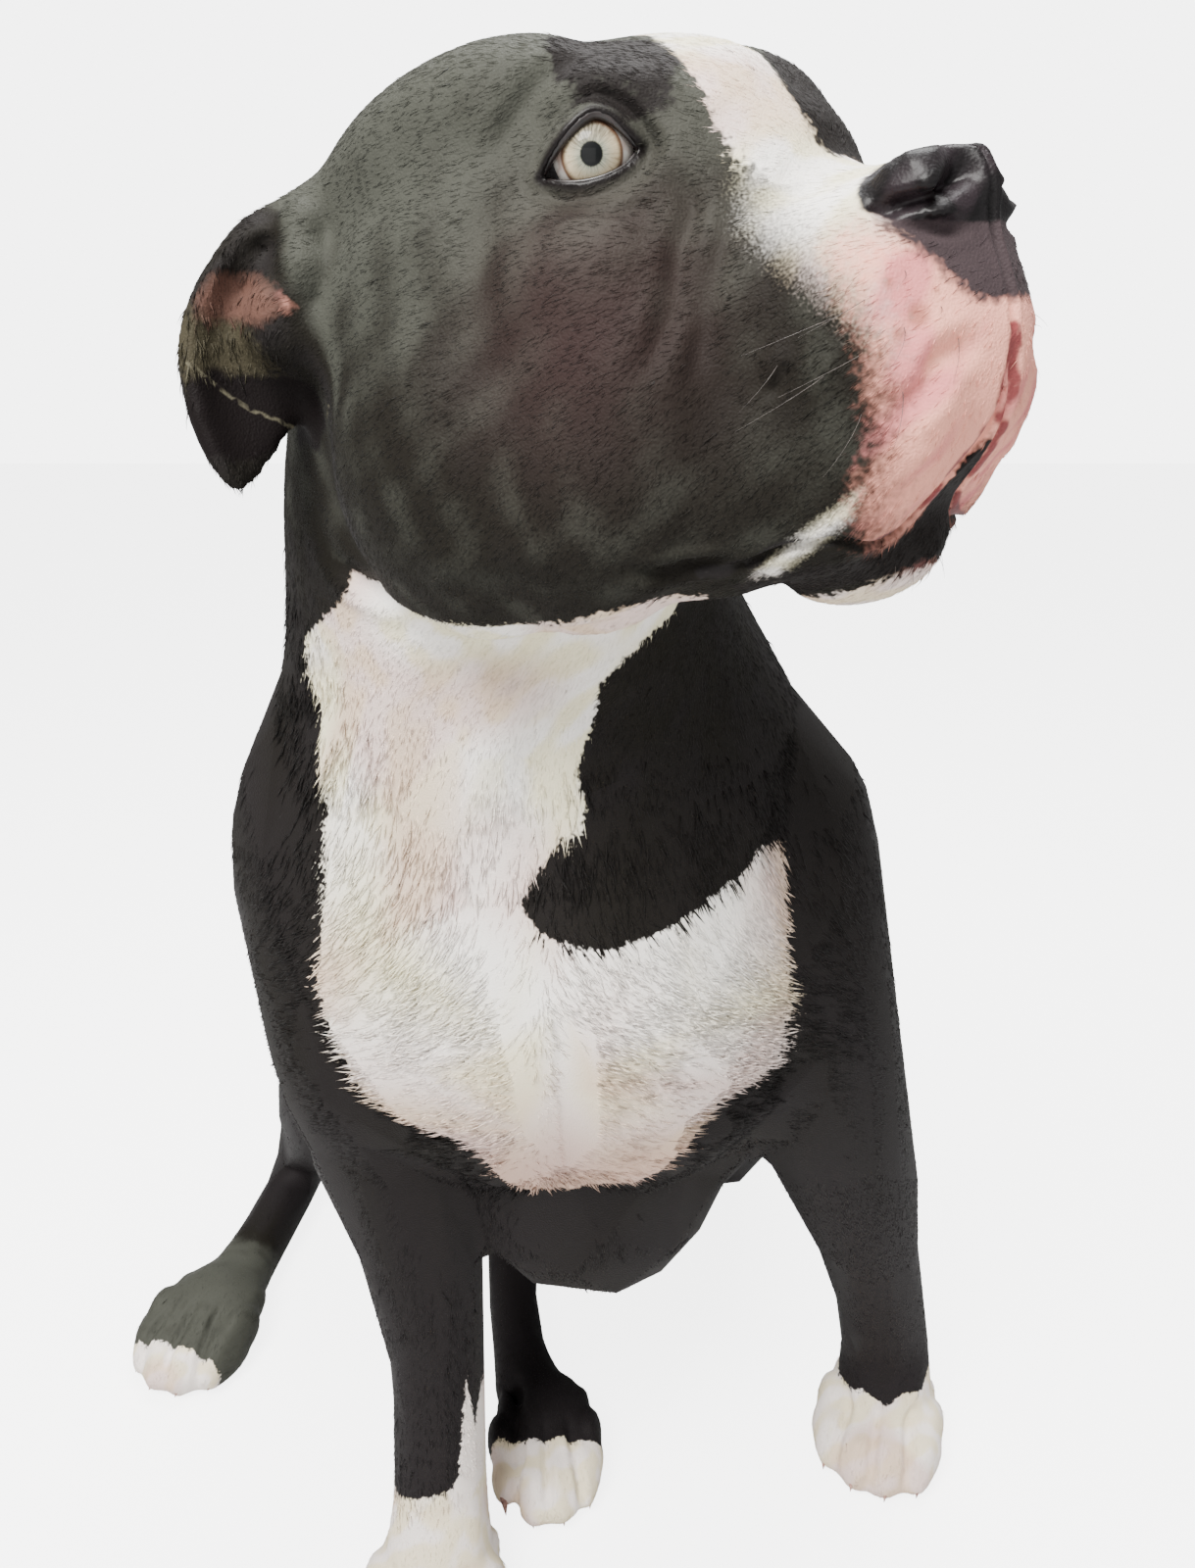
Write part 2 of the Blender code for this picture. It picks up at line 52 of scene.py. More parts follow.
FLESH = (
    "head", "ear_left", "ear_right", "neck", "trunk", "tail", "foreleg_left", "foreleg_right",
    "forepaw_left", "forepaw_right", "hindleg_left", "hindleg_right", "hindpaw_left",
    "hindpaw_right",
)
EYES = ("eye_right", "eye_left")
Spot = tuple[float, float, float]
Flat = tuple[float, float]
Colour = tuple[int, int, int]


class Side(Enum):
    """A side of the dog, as the sign of its left-hand direction."""

    RIGHT = -1
    LEFT = 1


def deselect() -> None:
    """Leaves edit mode and selects nothing."""
    if bpy.context.object and bpy.context.object.mode != "OBJECT":
        bpy.ops.object.mode_set(mode="OBJECT")
    bpy.ops.object.select_all(action="DESELECT")


def select(*pieces: bpy.types.Object) -> None:
    """Selects pieces alone and makes the last one active.

    Args:
        *pieces: the objects to select.
    """
    deselect()
    for piece in pieces:
        piece.select_set(True)
        bpy.context.view_layer.objects.active = piece


def apply_modifier(piece: bpy.types.Object, kind: str, **values: object) -> None:
    """Adds a modifier, sets it and applies it.

    Args:
        piece: the object to change.
        kind: Blender's name for the modifier's type.
        **values: the modifier's settings.
    """
    select(piece)
    modifier = piece.modifiers.new(kind.lower(), kind)
    for name, value in values.items():
        setattr(modifier, name, value)
    bpy.ops.object.modifier_apply(modifier=modifier.name)


def tube(name: str, places: list[Vector | np.ndarray], radii: list[float], thick: float, rounding: int = 3,
         closed: bool = False, capped: bool = False) -> bpy.types.Object:
    """A round rod through places, as a mesh.

    Args:
        name: the new object's name.
        places: the places it passes.
        radii: its radius at each of them, as a share of thick.
        thick: its radius in metres.
        rounding: how finely it is rounded.
        closed: whether its ends meet.
        capped: whether its ends are filled.

    Returns:
        The rod.
    """
    line = bpy.data.curves.new(name, "CURVE")
    line.dimensions = "3D"
    line.bevel_depth = thick
    line.bevel_resolution = rounding
    line.use_fill_caps = capped
    run = line.splines.new("POLY")
    run.use_cyclic_u = closed
    run.points.add(len(places) - 1)
    for point, place, radius in zip(run.points, places, radii):
        point.co = (*place, 1.0)
        point.radius = radius
    piece = bpy.data.objects.new(name, line)
    bpy.context.scene.collection.objects.link(piece)
    select(piece)
    bpy.ops.object.convert(target="MESH")
    return bpy.context.object


def join(name: str, pieces: list[bpy.types.Object]) -> bpy.types.Object:
    """Joins pieces into one of a given name.

    Args:
        name: its name.
        pieces: the pieces, the last of which takes in the others.

    Returns:
        The joined piece.
    """
    select(*pieces)
    bpy.ops.object.join()
    bpy.context.object.name = name
    return bpy.context.object


def settle(piece: bpy.types.Object, finish: bpy.types.Material) -> bpy.types.Object:
    """Smooths a piece's shading, gives it its material and sets it on the body.

    Args:
        piece: the piece.
        finish: its material.

    Returns:
        The same piece.
    """
    select(piece)
    bpy.ops.object.shade_smooth()
    piece.data.materials.append(finish)
    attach(piece, BODY)
    return piece


def mesh_rows(mesh: bpy.types.Mesh, kind: str) -> np.ndarray:
    """A value of three numbers from each of a mesh's vertices, one row each."""
    flat = np.empty(len(mesh.vertices) * 3)
    mesh.vertices.foreach_get(kind, flat)
    return flat.reshape(-1, 3)


def mesh_points(mesh: bpy.types.Mesh) -> np.ndarray:
    """The places of a mesh's vertices, one row each."""
    return mesh_rows(mesh, "co")


def mesh_normals(mesh: bpy.types.Mesh) -> np.ndarray:
    """The outward directions of a mesh's vertices, one row each."""
    return mesh_rows(mesh, "normal")


def set_points(mesh: bpy.types.Mesh, points: np.ndarray) -> None:
    """Moves a mesh's vertices.

    Args:
        mesh: the mesh to change.
        points: the new places, one row each.
    """
    mesh.vertices.foreach_set("co", points.ravel())
    mesh.update()


def line_distance(points: np.ndarray, line: np.ndarray) -> tuple[np.ndarray, np.ndarray]:
    """How far points lie from a chain of straight runs.

    Args:
        points: places, one row each.
        line: the chain's corners, one row each, in two or three dimensions.

    Returns:
        The distance of each point, and how far along the chain its nearest place is, 0 to 1.
    """
    best = np.full(len(points), np.inf)
    share = np.zeros(len(points))
    runs = len(line) - 1
    for index in range(runs):
        start, run = line[index], line[index + 1] - line[index]
        t = np.clip((points - start) @ run / max(run @ run, 1e-12), 0.0, 1.0)
        distance = np.linalg.norm(points - start - t[:, None] * run, axis=1)
        closer = distance < best
        best[closer] = distance[closer]
        share[closer] = (index + t[closer]) / runs
    return best, share


def curve_points(corners: np.ndarray, steps: int = 6) -> np.ndarray:
    """A smooth chain through corners.

    Args:
        corners: the places to pass, one row each.
        steps: the runs made of each span.

    Returns:
        The chain's places, one row each.
    """
    padded = np.vstack([2 * corners[0] - corners[1], corners, 2 * corners[-1] - corners[-2]])
    rows = []
    for index in range(len(corners) - 1):
        a, b, c, d = padded[index:index + 4]
        for step in range(steps):
            t = step / steps
            rows.append(0.5 * (
                2 * b + (c - a) * t + (2 * a - 5 * b + 4 * c - d) * t ** 2
                + (3 * b - a - 3 * c + d) * t ** 3
            ))
    rows.append(corners[-1])
    return np.array(rows)


def smooth_step(value: np.ndarray, low: float, high: float) -> np.ndarray:
    """Rises smoothly from 0 at low to 1 at high."""
    t = np.clip((value - low) / (high - low), 0.0, 1.0)
    return t * t * (3 - 2 * t)


@dataclass(frozen=True)
class HeadFrame:
    """The head's own directions, found from the eyes.

    Attributes:
        raised: how far the nose points above level, in radians.
        eye_place: an eye's middle as forward, aside and above.
        bend: how far left the face's middle line lies at the nose, in metres.
    """

    raised: float = math.radians(17.0)
    eye_place: Spot = (0.0335, 0.0426, 0.0315)
    bend: float = -0.0055

    def eye(self, side: Side) -> np.ndarray:
        """The middle of an eyeball."""
        low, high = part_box("eye_left" if side is Side.LEFT else "eye_right")
        return (np.array(low) + np.array(high)) / 2

    @property
    def axes(self) -> np.ndarray:
        """The head's own forward, left and up.

        Returns:
            Three directions of the world.
        """
        left = self.eye(Side.LEFT) - self.eye(Side.RIGHT)
        left /= np.linalg.norm(left)
        level = np.cross(left, (0.0, 0.0, 1.0))
        level /= np.linalg.norm(level)
        crown = np.cross(level, left)
        forward = level * math.cos(self.raised) + crown * math.sin(self.raised)
        return np.array([forward, left, np.cross(forward, left)])

    @property
    def origin(self) -> np.ndarray:
        """The middle of the head."""
        middle = (self.eye(Side.LEFT) + self.eye(Side.RIGHT)) / 2
        forward, _, up = self.axes
        return middle - forward * self.eye_place[0] - up * self.eye_place[2]

    def inward(self, points: np.ndarray) -> np.ndarray:
        """World places as forward, left and up of the head."""
        return (np.asarray(points) - self.origin) @ self.axes.T

    def outward(self, points: np.ndarray) -> np.ndarray:
        """Places of the head's frame in the world."""
        return np.asarray(points) @ self.axes + self.origin

    def midline(self, forward: np.ndarray) -> np.ndarray:
        """How far left the face's middle line lies, by the place forward, in metres."""
        return self.bend * smooth_step(forward, 0.055, 0.115)


@dataclass(frozen=True)
class Stroke:
    """A groove or ridge drawn over the skin.

    Attributes:
        corners: places it passes, in millimetres, of the head's frame or of the whole dog's.
        width: its half width in millimetres.
        rise: how far it lifts the skin in millimetres, less than 0 for a groove.
        lips: the share of the rise that the flanks take the other way.
        both: whether the head's other side has it too.
        fade: the share of its length over which each end dies away.
    """

    corners: tuple[Spot, ...]
    width: float
    rise: float
    lips: float = 0.0
    both: bool = True
    fade: float = 0.25


@dataclass(frozen=True)
class Paw:
    """A paw.

    Attributes:
        place: where its middle stands, in metres.
        turn: its turn in degrees from straight ahead.
        length: its length in metres.
        width: its width.
        height: its height.
    """

    place: Flat
    turn: float
    length: float
    width: float
    height: float

    def spot(self, across: float, ahead: float, above: float) -> Vector:
        """A place on the paw from its own directions."""
        turn = Matrix.Rotation(math.radians(self.turn), 3, "Z")
        return Vector((*self.place, 0.0)) + turn @ Vector((across, -ahead, above))

    def toe_lines(self) -> list[Flat]:
        """Each toe's place across the paw and its reach ahead of the middle.

        Returns:
            The two for each toe, in metres.
        """
        lines = []
        for share in (-1.0, -0.36, 0.36, 1.0):
            reach = self.length * (0.20 if abs(share) > 0.9 else 0.29)
            lines.append((share * self.width * 0.345, reach))
        return lines


PAWS = {
    "foreleg_right": Paw((-0.0385, -0.2319), -4.0, 0.104, 0.080, 0.044),
    "foreleg_left": Paw((0.2305, -0.1209), -20.0, 0.102, 0.080, 0.044),
    "hindleg_right": Paw((-0.2255, -0.0429), -16.0, 0.112, 0.080, 0.043),
    "hindleg_left": Paw((0.0175, -0.1369), 5.0, 0.106, 0.072, 0.041),
}


@dataclass(frozen=True)
class EyeForm:
    """The lids' opening and the ball, in millimetres in the eye's own plane.

    Attributes:
        upper: the upper lid's edge from the rear corner to the front one, as ahead and above.
        lower: the lower lid's edge from the front corner back.
        ball: the eyeball's radius.
        lid: the lids' thickness.
        facing: where the opening faces on the right side, in the head's frame.
    """

    upper: tuple[Flat, ...] = (
        (-14.6, -2.4), (-11.0, 1.0), (-6.0, 4.6), (-0.6, 7.2), (3.0, 7.6), (6.6, 5.2), (9.6, 1.0),
        (11.8, -2.8),
    )
    lower: tuple[Flat, ...] = ((7.4, -5.6), (1.8, -6.8), (-4.2, -6.6), (-10.0, -4.9))
    ball: float = 12.0
    lid: float = 1.3
    facing: Spot = (0.62, -0.76, -0.14)

    def directions(self, head: HeadFrame, side: Side) -> np.ndarray:
        """Ahead, above and outward at the eye, one row each.

        Args:
            head: the head's frame.
            side: which eye.

        Returns:
            Three directions of the world.
        """
        outward = np.array(self.facing) * (1.0, -side.value, 1.0)
        outward = (outward / np.linalg.norm(outward)) @ head.axes
        ahead = np.cross(head.axes[2], outward) * side.value
        ahead = -ahead / np.linalg.norm(ahead)
        if ahead @ head.axes[0] < 0:
            ahead = -ahead
        above = np.cross(outward, ahead)
        if above @ head.axes[2] < 0:
            above = -above
        return np.array([ahead, above, outward])

    def edge(self) -> np.ndarray:
        """The opening's outline, closed, as ahead and above.

        Returns:
            Its places in millimetres, one row each.
        """
        flat = np.array(self.upper)
        top = curve_points(flat, 5)
        bottom = curve_points(np.array([self.upper[-1], *self.lower, self.upper[0]]), 5)
        return np.vstack([top, bottom[1:]])


def signed_distance(points: np.ndarray, outline: np.ndarray) -> np.ndarray:
    """How far flat points lie outside a closed outline, less than 0 inside.

    Args:
        points: places, two columns.
        outline: the outline's corners in order, its last the same as its first.

    Returns:
        One distance a point.
    """
    distance, _ = line_distance(points, outline)
    inside = np.zeros(len(points), dtype=bool)
    for start, end in zip(outline, outline[1:]):
        spans = (start[1] > points[:, 1]) != (end[1] > points[:, 1])
        rise = end[1] - start[1]
        cross = start[0] + (points[:, 1] - start[1]) * (end[0] - start[0]) / (rise if rise else 1.0)
        inside ^= spans & (points[:, 0] < cross)
    return np.where(inside, -distance, distance)


BODY_STROKES = (
    # breast bone groove and the neck's muscle
    Stroke(((35, -284, 425), (34, -283, 395), (35, -275, 350), (36, -236, 300)), 8.0, -4.4, 0.45, False, 0.4),
    Stroke(((34, -281, 563), (23, -277, 544), (11, -270, 516), (0, -262, 490), (-8, -255, 456)),
           11.0, 4.6, 0.5, False),
    Stroke(((60, -268, 545), (52, -266, 515), (50, -262, 485)), 10.0, -2.0, 0.2, False),
    # between neck and shoulder, and between breast and upper arm
    Stroke(((-44, -263, 555), (-56, -250, 532), (-76, -227, 498), (-90, -234, 460)), 11.0, -3.4, 0.3, False),
    Stroke(((130, -208, 510), (130, -219, 477), (132, -229, 440), (137, -229, 394)), 11.0, -3.4, 0.3, False),
    Stroke(((-72, -248, 400), (-60, -252, 368), (-40, -247, 340), (-8, -262, 334)), 8.0, -3.4, 0.4, False),
    Stroke(((140, -226, 380), (130, -236, 352), (104, -257, 350), (86, -256, 326)), 8.0, -3.4, 0.4, False),
    # forearms
    Stroke(((-80, -205, 300), (-76, -205, 262), (-68, -208, 225)), 15.0, 3.0, 0.0, False),
    Stroke(((190, -150, 290), (204, -140, 250), (214, -130, 215)), 15.0, 2.6, 0.0, False),
    Stroke(((-36, -240, 190), (-38, -236, 150), (-40, -232, 110)), 7.0, -1.6, 0.5, False),
    # loin, haunches and the groove of the back
    Stroke(((0, 300, 330), (0, 220, 400), (0, 120, 470), (0, 20, 530)), 12.0, -2.5, 0.3, False),
)

HEAD_STROKES = (
    # forehead furrow, stop and bridge
    Stroke(((74, 0, 22), (60, 0, 42), (45, 0, 58), (20, 0, 74)), 5.0, -1.8, 0.2, False),
    Stroke(((80, 0, 15), (95, 0, 14), (108, 0, 9)), 9.0, 0.8, 0.0, False),
    Stroke(((72, -22, 10), (84, -24, 8), (96, -22, 4)), 5.0, -1.2),
    # brow and the crease above it
    Stroke(((13, -62, 34), (19, -57, 43), (26, -53, 49), (34, -46, 54), (40, -38, 58)), 3.2, -1.3, 0.4),
    Stroke(((26, -54, 42), (36, -48, 45), (46, -43, 43), (55, -38, 36)), 5.0, 1.6),
    Stroke(((52, -36, 44), (60, -32, 36), (66, -28, 28)), 5.0, 0.8),
    # temple and cheek behind the eye
    Stroke(((16, -60, 30), (10, -66, 22), (10, -71, 8), (16, -72, -6)), 5.0, -1.0, 0.3),
    Stroke(((2, -70, 26), (-18, -74, 28), (-40, -76, 30)), 8.0, 1.2),
    Stroke(((-20, -66, 52), (-4, -64, 52), (12, -58, 52)), 9.0, -1.4),
    # pouch under the eye and the folds in front of the cheek
    Stroke(((27, -57, 16), (36, -55, 13), (45, -52, 12), (53, -46, 13)), 2.6, -1.1, 0.5),
    Stroke(((54, -44, 22), (60, -42, 10), (58, -47, -2), (56, -52, -13), (52, -58, -23), (45, -64, -34)),
           3.2, -2.1, 0.45),
    Stroke(((68, -35, 12), (67, -41, 0), (63, -47, -12), (60, -52, -24), (58, -56, -38)), 3.4, -1.5, 0.4),
    Stroke(((60, -45, 4), (59, -50, -8), (55, -55, -18)), 2.6, 0.8),
    # whisker pads of the muzzle, and the mole
    Stroke(((84, -38, -14), (98, -34, -20), (108, -27, -28)), 8.0, 1.5),
    Stroke(((80, -42, -34), (90, -41, -46), (98, -36, -56)), 8.0, 1.4),
    Stroke(((76, -45, -36), (77.5, -45, -35)), 3.6, 1.2),
    Stroke(((71, -45, -41), (76, -46, -41), (80, -44, -36)), 1.6, -0.9, 0.3),
    # the flews' crease, lobe and small wrinkles
    Stroke(((117, -9, -44), (113, -18, -45), (110, -23, -47), (108, -25, -51), (104, -28, -54),
            (98, -33, -57)), 3.0, -2.0, 0.5, True, 0.2),
    Stroke(((114, -12, -53), (109, -19, -58), (103, -25, -64), (96, -30, -70)), 8.0, 1.6),
    Stroke(((106, -18, -70), (99, -24, -75), (91, -31, -78)), 3.0, -0.8, 0.3),
    Stroke(((101, -33, -30), (97, -36, -38), (94, -38, -46)), 2.6, -0.7, 0.3),
    Stroke(((111, -25, -30), (108, -28, -38), (104, -31, -44)), 2.6, -0.6, 0.3),
    # lip corner and jaw
    Stroke(((29, -66, -73), (36, -61, -80), (44, -55, -82), (53, -48, -81)), 2.0, -2.6, 0.5),
    Stroke(((-95, -64, -22), (-98, -62, -46), (-84, -60, -62), (-60, -68, -72), (-40, -68, -82),
            (-18, -62, -90), (8, -58, -92), (26, -54, -92), (44, -40, -94)), 4.0, -2.6, 0.5),
    Stroke(((20, -74, -60), (4, -82, -66), (-14, -86, -66), (-34, -86, -58)), 9.0, 1.6),
    Stroke(((-8, -84, -36), (4, -84, -20), (6, -80, -6)), 8.0, -1.0, 0.3),
    # ear root and the ear's hollow
    Stroke(((-60, -68, 58), (-64, -74, 48), (-62, -80, 36), (-60, -84, 22)), 5.0, -1.4, 0.4),
)

NOSE_STROKES = (
    Stroke(((121, 0, 5), (123, 0, -2), (122, 0, -10), (120, 0, -18), (119, 0, -30), (118, 0, -44)),
           1.1, -2.2, 0.3, False, 0.08),
    Stroke(((119, -9.5, -4.5), (117, -11.5, -6.5), (113, -15.5, -8.5), (106, -20.5, -8.5), (99, -23, -6)),
           1.7, -3.8, 0.25, True, 0.3),
    Stroke(((119.5, -8.0, -3.5), (117.0, -11.5, -6.5)), 3.4, -5.0, 0.25),
    Stroke(((110, -18, -1), (106, -20, 0)), 4.0, 1.0),
    Stroke(((119, -8, 3), (113, -14, 3), (106, -18, 1)), 4.0, 1.2),
    Stroke(((96, -21, 4), (102, -17, 9), (104, -8, 12), (105, 0, 12)), 1.6, -1.0, 0.4),
    Stroke(((98, -24, -4), (106, -22, -12), (114, -15, -16), (119, -5, -17)), 1.8, -1.5, 0.4),
)

# from under the nose down the slit between the flews and back along the lips
MOUTH_LINE = (
    (118, -0.6, -43), (117.5, -1.2, -51), (117, -2, -60), (113, -3.5, -68), (106, -6, -76), (97, -10, -83),
    (89, -17, -87), (83, -27, -87), (78, -36, -83), (66, -43, -82.5), (54, -47, -84), (43, -51, -81),
)


@dataclass
class Skin:
    """The one skin over all the flesh, from fused nodes to the finished form.

    Attributes:
        head: the head's frame.
        eye: the eyes' form.
        voxel: the mesh's pitch when the nodes are fused.
        overlap: how far each node is grown so that thin cuts close.
        depth: how far the skin lies inside the outline, under the coat.
        limit: the most triangles of the finished skin.
        roots: the middles, in millimetres of the head's frame, and radii of the ears' roots.
        wings: the same of the nose's top and wings, with half sizes in metres.
        coarse: the pitch of the copy that rounds the trunk.
        swell: how far that copy is let out to make up for its smoothing.
        piece: the skin's object.
    """

    head: HeadFrame
    eye: EyeForm = EyeForm()
    voxel: float = 0.0022
    overlap: float = 0.0007
    depth: float = 0.0006
    limit: int = 186000
    roots: tuple[tuple[Spot, int], ...] = (
        ((-61, 73, 34), 12), ((-66, 79, 27), 10), ((-60, 70, 46), 10), ((-75, 77, 42), 9),
    )
    wings: tuple[tuple[Spot, Spot], ...] = (
        ((107, 0, -4), (0.0150, 0.012, 0.0105)), ((107, 12, -5), (0.0115, 0.010, 0.0085)),
        ((107, -12, -5), (0.0115, 0.010, 0.0085)),
    )
    coarse: float = 0.008
    swell: float = 0.0046
    piece: bpy.types.Object | None = None

    def build(self) -> None:
        """Fuses, smooths, shapes and thins the skin."""
        self.fuse()
        self.even()
        self.add_forms()
        self.shape()
        self.thin()

    def ellipsoid(self, middle: Vector, radii: Spot, turn: float) -> bpy.types.Object:
        """A rounded form to be fused into the skin.

        Args:
            middle: its middle.
            radii: its half sizes across, along and above.
            turn: its turn about the vertical in degrees.

        Returns:
            The new object.
        """
        deselect()
        bpy.ops.mesh.primitive_uv_sphere_add(segments=24, ring_count=14, radius=1.0, location=middle)
        form = bpy.context.object
        form.scale = radii
        form.rotation_euler = (0.0, 0.0, math.radians(turn))
        bpy.ops.object.transform_apply(location=True, rotation=True, scale=True)
        return form

    def ear_roots(self) -> list[bpy.types.Object]:
        """The rise of skin from which each ear folds.

        Returns:
            The new objects.
        """
        forms = []
        for side in (-1, 1):
            for place, size in self.roots:
                spot = self.head.outward(np.array((place[0], place[1] * side, place[2])) / 1000)
                forms.append(self.ellipsoid(Vector(spot), (size / 1000,) * 3, 0.0))
        return forms

    def nose(self) -> list[bpy.types.Object]:
        """The rounded top and wings of the nose.

        Returns:
            The new objects.
        """
        forms = []
        forward = self.head.axes[0]
        turn = math.degrees(math.atan2(forward[1], forward[0]))
        for place, size in self.wings:
            spot = np.array(place, dtype=float) / 1000
            spot[1] += self.head.midline(spot[0])
            forms.append(self.ellipsoid(Vector(self.head.outward(spot)), size, turn))
        return forms

    def toes(self) -> list[bpy.types.Object]:
        """Knuckles and toe ends of all four paws.

        Returns:
            The new objects.
        """
        forms = []
        for paw in PAWS.values():
            wide = paw.width
            for across, reach in paw.toe_lines():
                lean = paw.turn - across / wide * 22.0
                back = Vector((0.0, 0.019, 0.0))
                back.rotate(Matrix.Rotation(math.radians(lean), 3, "Z"))
                tip = paw.spot(across * 1.04, reach, paw.height * 0.31)
                knuckle = paw.spot(across, reach, paw.height * 0.52) + back
                root = paw.spot(across * 0.74, reach, paw.height * 0.56) + back * 1.8
                forms.append(self.ellipsoid(tip, (wide * 0.116, wide * 0.200, paw.height * 0.31), lean))
                forms.append(self.ellipsoid(knuckle, (wide * 0.124, wide * 0.235, paw.height * 0.42), lean))
                forms.append(self.ellipsoid(root, (wide * 0.10, wide * 0.26, paw.height * 0.33), lean))
        return forms

    def fuse(self) -> None:
        """Joins copies of the flesh nodes and the eyes into one closed mesh."""
        copies = []
        for name in FLESH + EYES:
            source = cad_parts[name]
            copy = source.copy()
            copy.data = source.data.copy()
            copy.parent = None
            copy.matrix_world = source.matrix_world.copy()
            bpy.context.scene.collection.objects.link(copy)
            copies.append(copy)
            select(copy)
            bpy.ops.object.mode_set(mode="EDIT")
            bpy.ops.mesh.select_all(action="SELECT")
            bpy.ops.mesh.remove_doubles(threshold=0.00001)
            if name not in EYES:
                bpy.ops.transform.shrink_fatten(value=self.overlap)
            bpy.ops.object.mode_set(mode="OBJECT")
        self.piece = join("skin", copies)
        bpy.ops.object.transform_apply(location=True, rotation=True, scale=True)
        apply_modifier(self.piece, "REMESH", mode="VOXEL", voxel_size=self.voxel)

    def smooth(self, times: int, weights: np.ndarray | None = None) -> None:
        """Evens the skin out.

        Args:
            times: how many times over.
            weights: how much of it each vertex takes, all of it if None.
        """
        if weights is None:
            apply_modifier(self.piece, "SMOOTH", factor=0.5, iterations=times)
        else:
            self.weigh(weights)
            apply_modifier(self.piece, "SMOOTH", factor=0.5, iterations=times, vertex_group="body")

    def level(self) -> None:
        """Keeps the soles on the floor."""
        points = mesh_points(self.piece.data)
        points[:, 2] = np.maximum(points[:, 2], 0.0)
        set_points(self.piece.data, points)

    def add_forms(self) -> None:
        """Fuses the toes, the nose and the ears' roots into the evened skin."""
        self.piece = join("skin", [*self.toes(), *self.ear_roots(), *self.nose(), self.piece])
        apply_modifier(self.piece, "REMESH", mode="VOXEL", voxel_size=self.voxel)
        self.smooth(5)
        local = self.head.inward(mesh_points(self.piece.data)) * 1000
        self.smooth(16, smooth_step(local[:, 0], 88, 98) * smooth_step(local[:, 2], -26, -16))
        self.level()

    def toe_clefts(self) -> tuple[Stroke, ...]:
        """Grooves between neighbouring toes of all four paws.

        Returns:
            The grooves, in the whole dog's frame.
        """
        clefts = []
        for paw in PAWS.values():
            lines = paw.toe_lines()
            for (left, _), (right, _) in zip(lines, lines[1:]):
                middle = (left + right) / 2
                spots = ((1.08, 0.040, 0.15), (1.06, 0.032, 0.5), (1.0, 0.018, 0.85), (0.85, -0.004, 1.0))
                corners = tuple(
                    tuple(paw.spot(middle * far, reach, paw.height * high) * 1000)
                    for far, reach, high in spots
                )
                clefts.append(Stroke(corners, 2.4, -3.0, 0.25, False, 0.3))
        return tuple(clefts)

    def weigh(self, weights: np.ndarray) -> None:
        """Stores a weight on every vertex in the vertex group body.

        Args:
            weights: one value a vertex, 0 to 1.
        """
        group = self.piece.vertex_groups.get("body") or self.piece.vertex_groups.new(name="body")
        steps = np.round(np.clip(weights, 0.0, 1.0) * 10).astype(int)
        for step in range(11):
            chosen = np.nonzero(steps == step)[0]
            if len(chosen):
                group.add(chosen.tolist(), step / 10, "REPLACE")

    def near_paws(self, points: np.ndarray) -> np.ndarray:
        """How much places belong to the paws, falling off up the legs.

        Args:
            points: the places in metres.

        Returns:
            One share a point.
        """
        near = np.zeros(len(points))
        for paw in PAWS.values():
            middle = np.array(paw.spot(0.0, 0.01, 0.0))
            away = np.linalg.norm((points - middle)[:, :2], axis=1)
            share = (1 - smooth_step(away, 0.055, 0.095)) * (1 - smooth_step(points[:, 2], 0.04, 0.09))
            near = np.maximum(near, share)
        return near

    def even(self) -> None:
        """Takes the facets out: the trunk and limbs most, the face and paws least."""
        points = mesh_points(self.piece.data)
        away = np.linalg.norm(self.head.inward(points) / (1.0, 0.95, 1.0), axis=1)
        face = 1 - smooth_step(away, 0.105, 0.150)
        paws = self.near_paws(points)
        self.smooth(8)
        self.smooth(90, (1 - face) * (1 - 0.75 * paws))
        self.round_trunk(smooth_step(points[:, 2], 0.27, 0.37) * smooth_step(away, 0.145, 0.20))
        local = self.head.inward(points) * 1000
        ears = smooth_step(np.abs(local[:, 1]), 76, 84) * (1 - smooth_step(local[:, 0], -66, -52))
        self.smooth(22, face * (1 - ears))
        self.level()

    def round_trunk(self, trunk: np.ndarray) -> None:
        """Draws the trunk onto a coarser, much smoother copy of itself.

        Args:
            trunk: how much each vertex belongs to it, 0 to 1.
        """
        self.weigh(trunk)
        copy = self.piece.copy()
        copy.data = self.piece.data.copy()
        bpy.context.scene.collection.objects.link(copy)
        apply_modifier(copy, "REMESH", mode="VOXEL", voxel_size=self.coarse)
        apply_modifier(copy, "SMOOTH", factor=0.5, iterations=80)
        apply_modifier(copy, "DISPLACE", strength=self.swell, mid_level=0.0)
        apply_modifier(self.piece, "SHRINKWRAP", target=copy, vertex_group="body")
        self.smooth(12, trunk)
        select(copy)
        bpy.ops.object.delete()

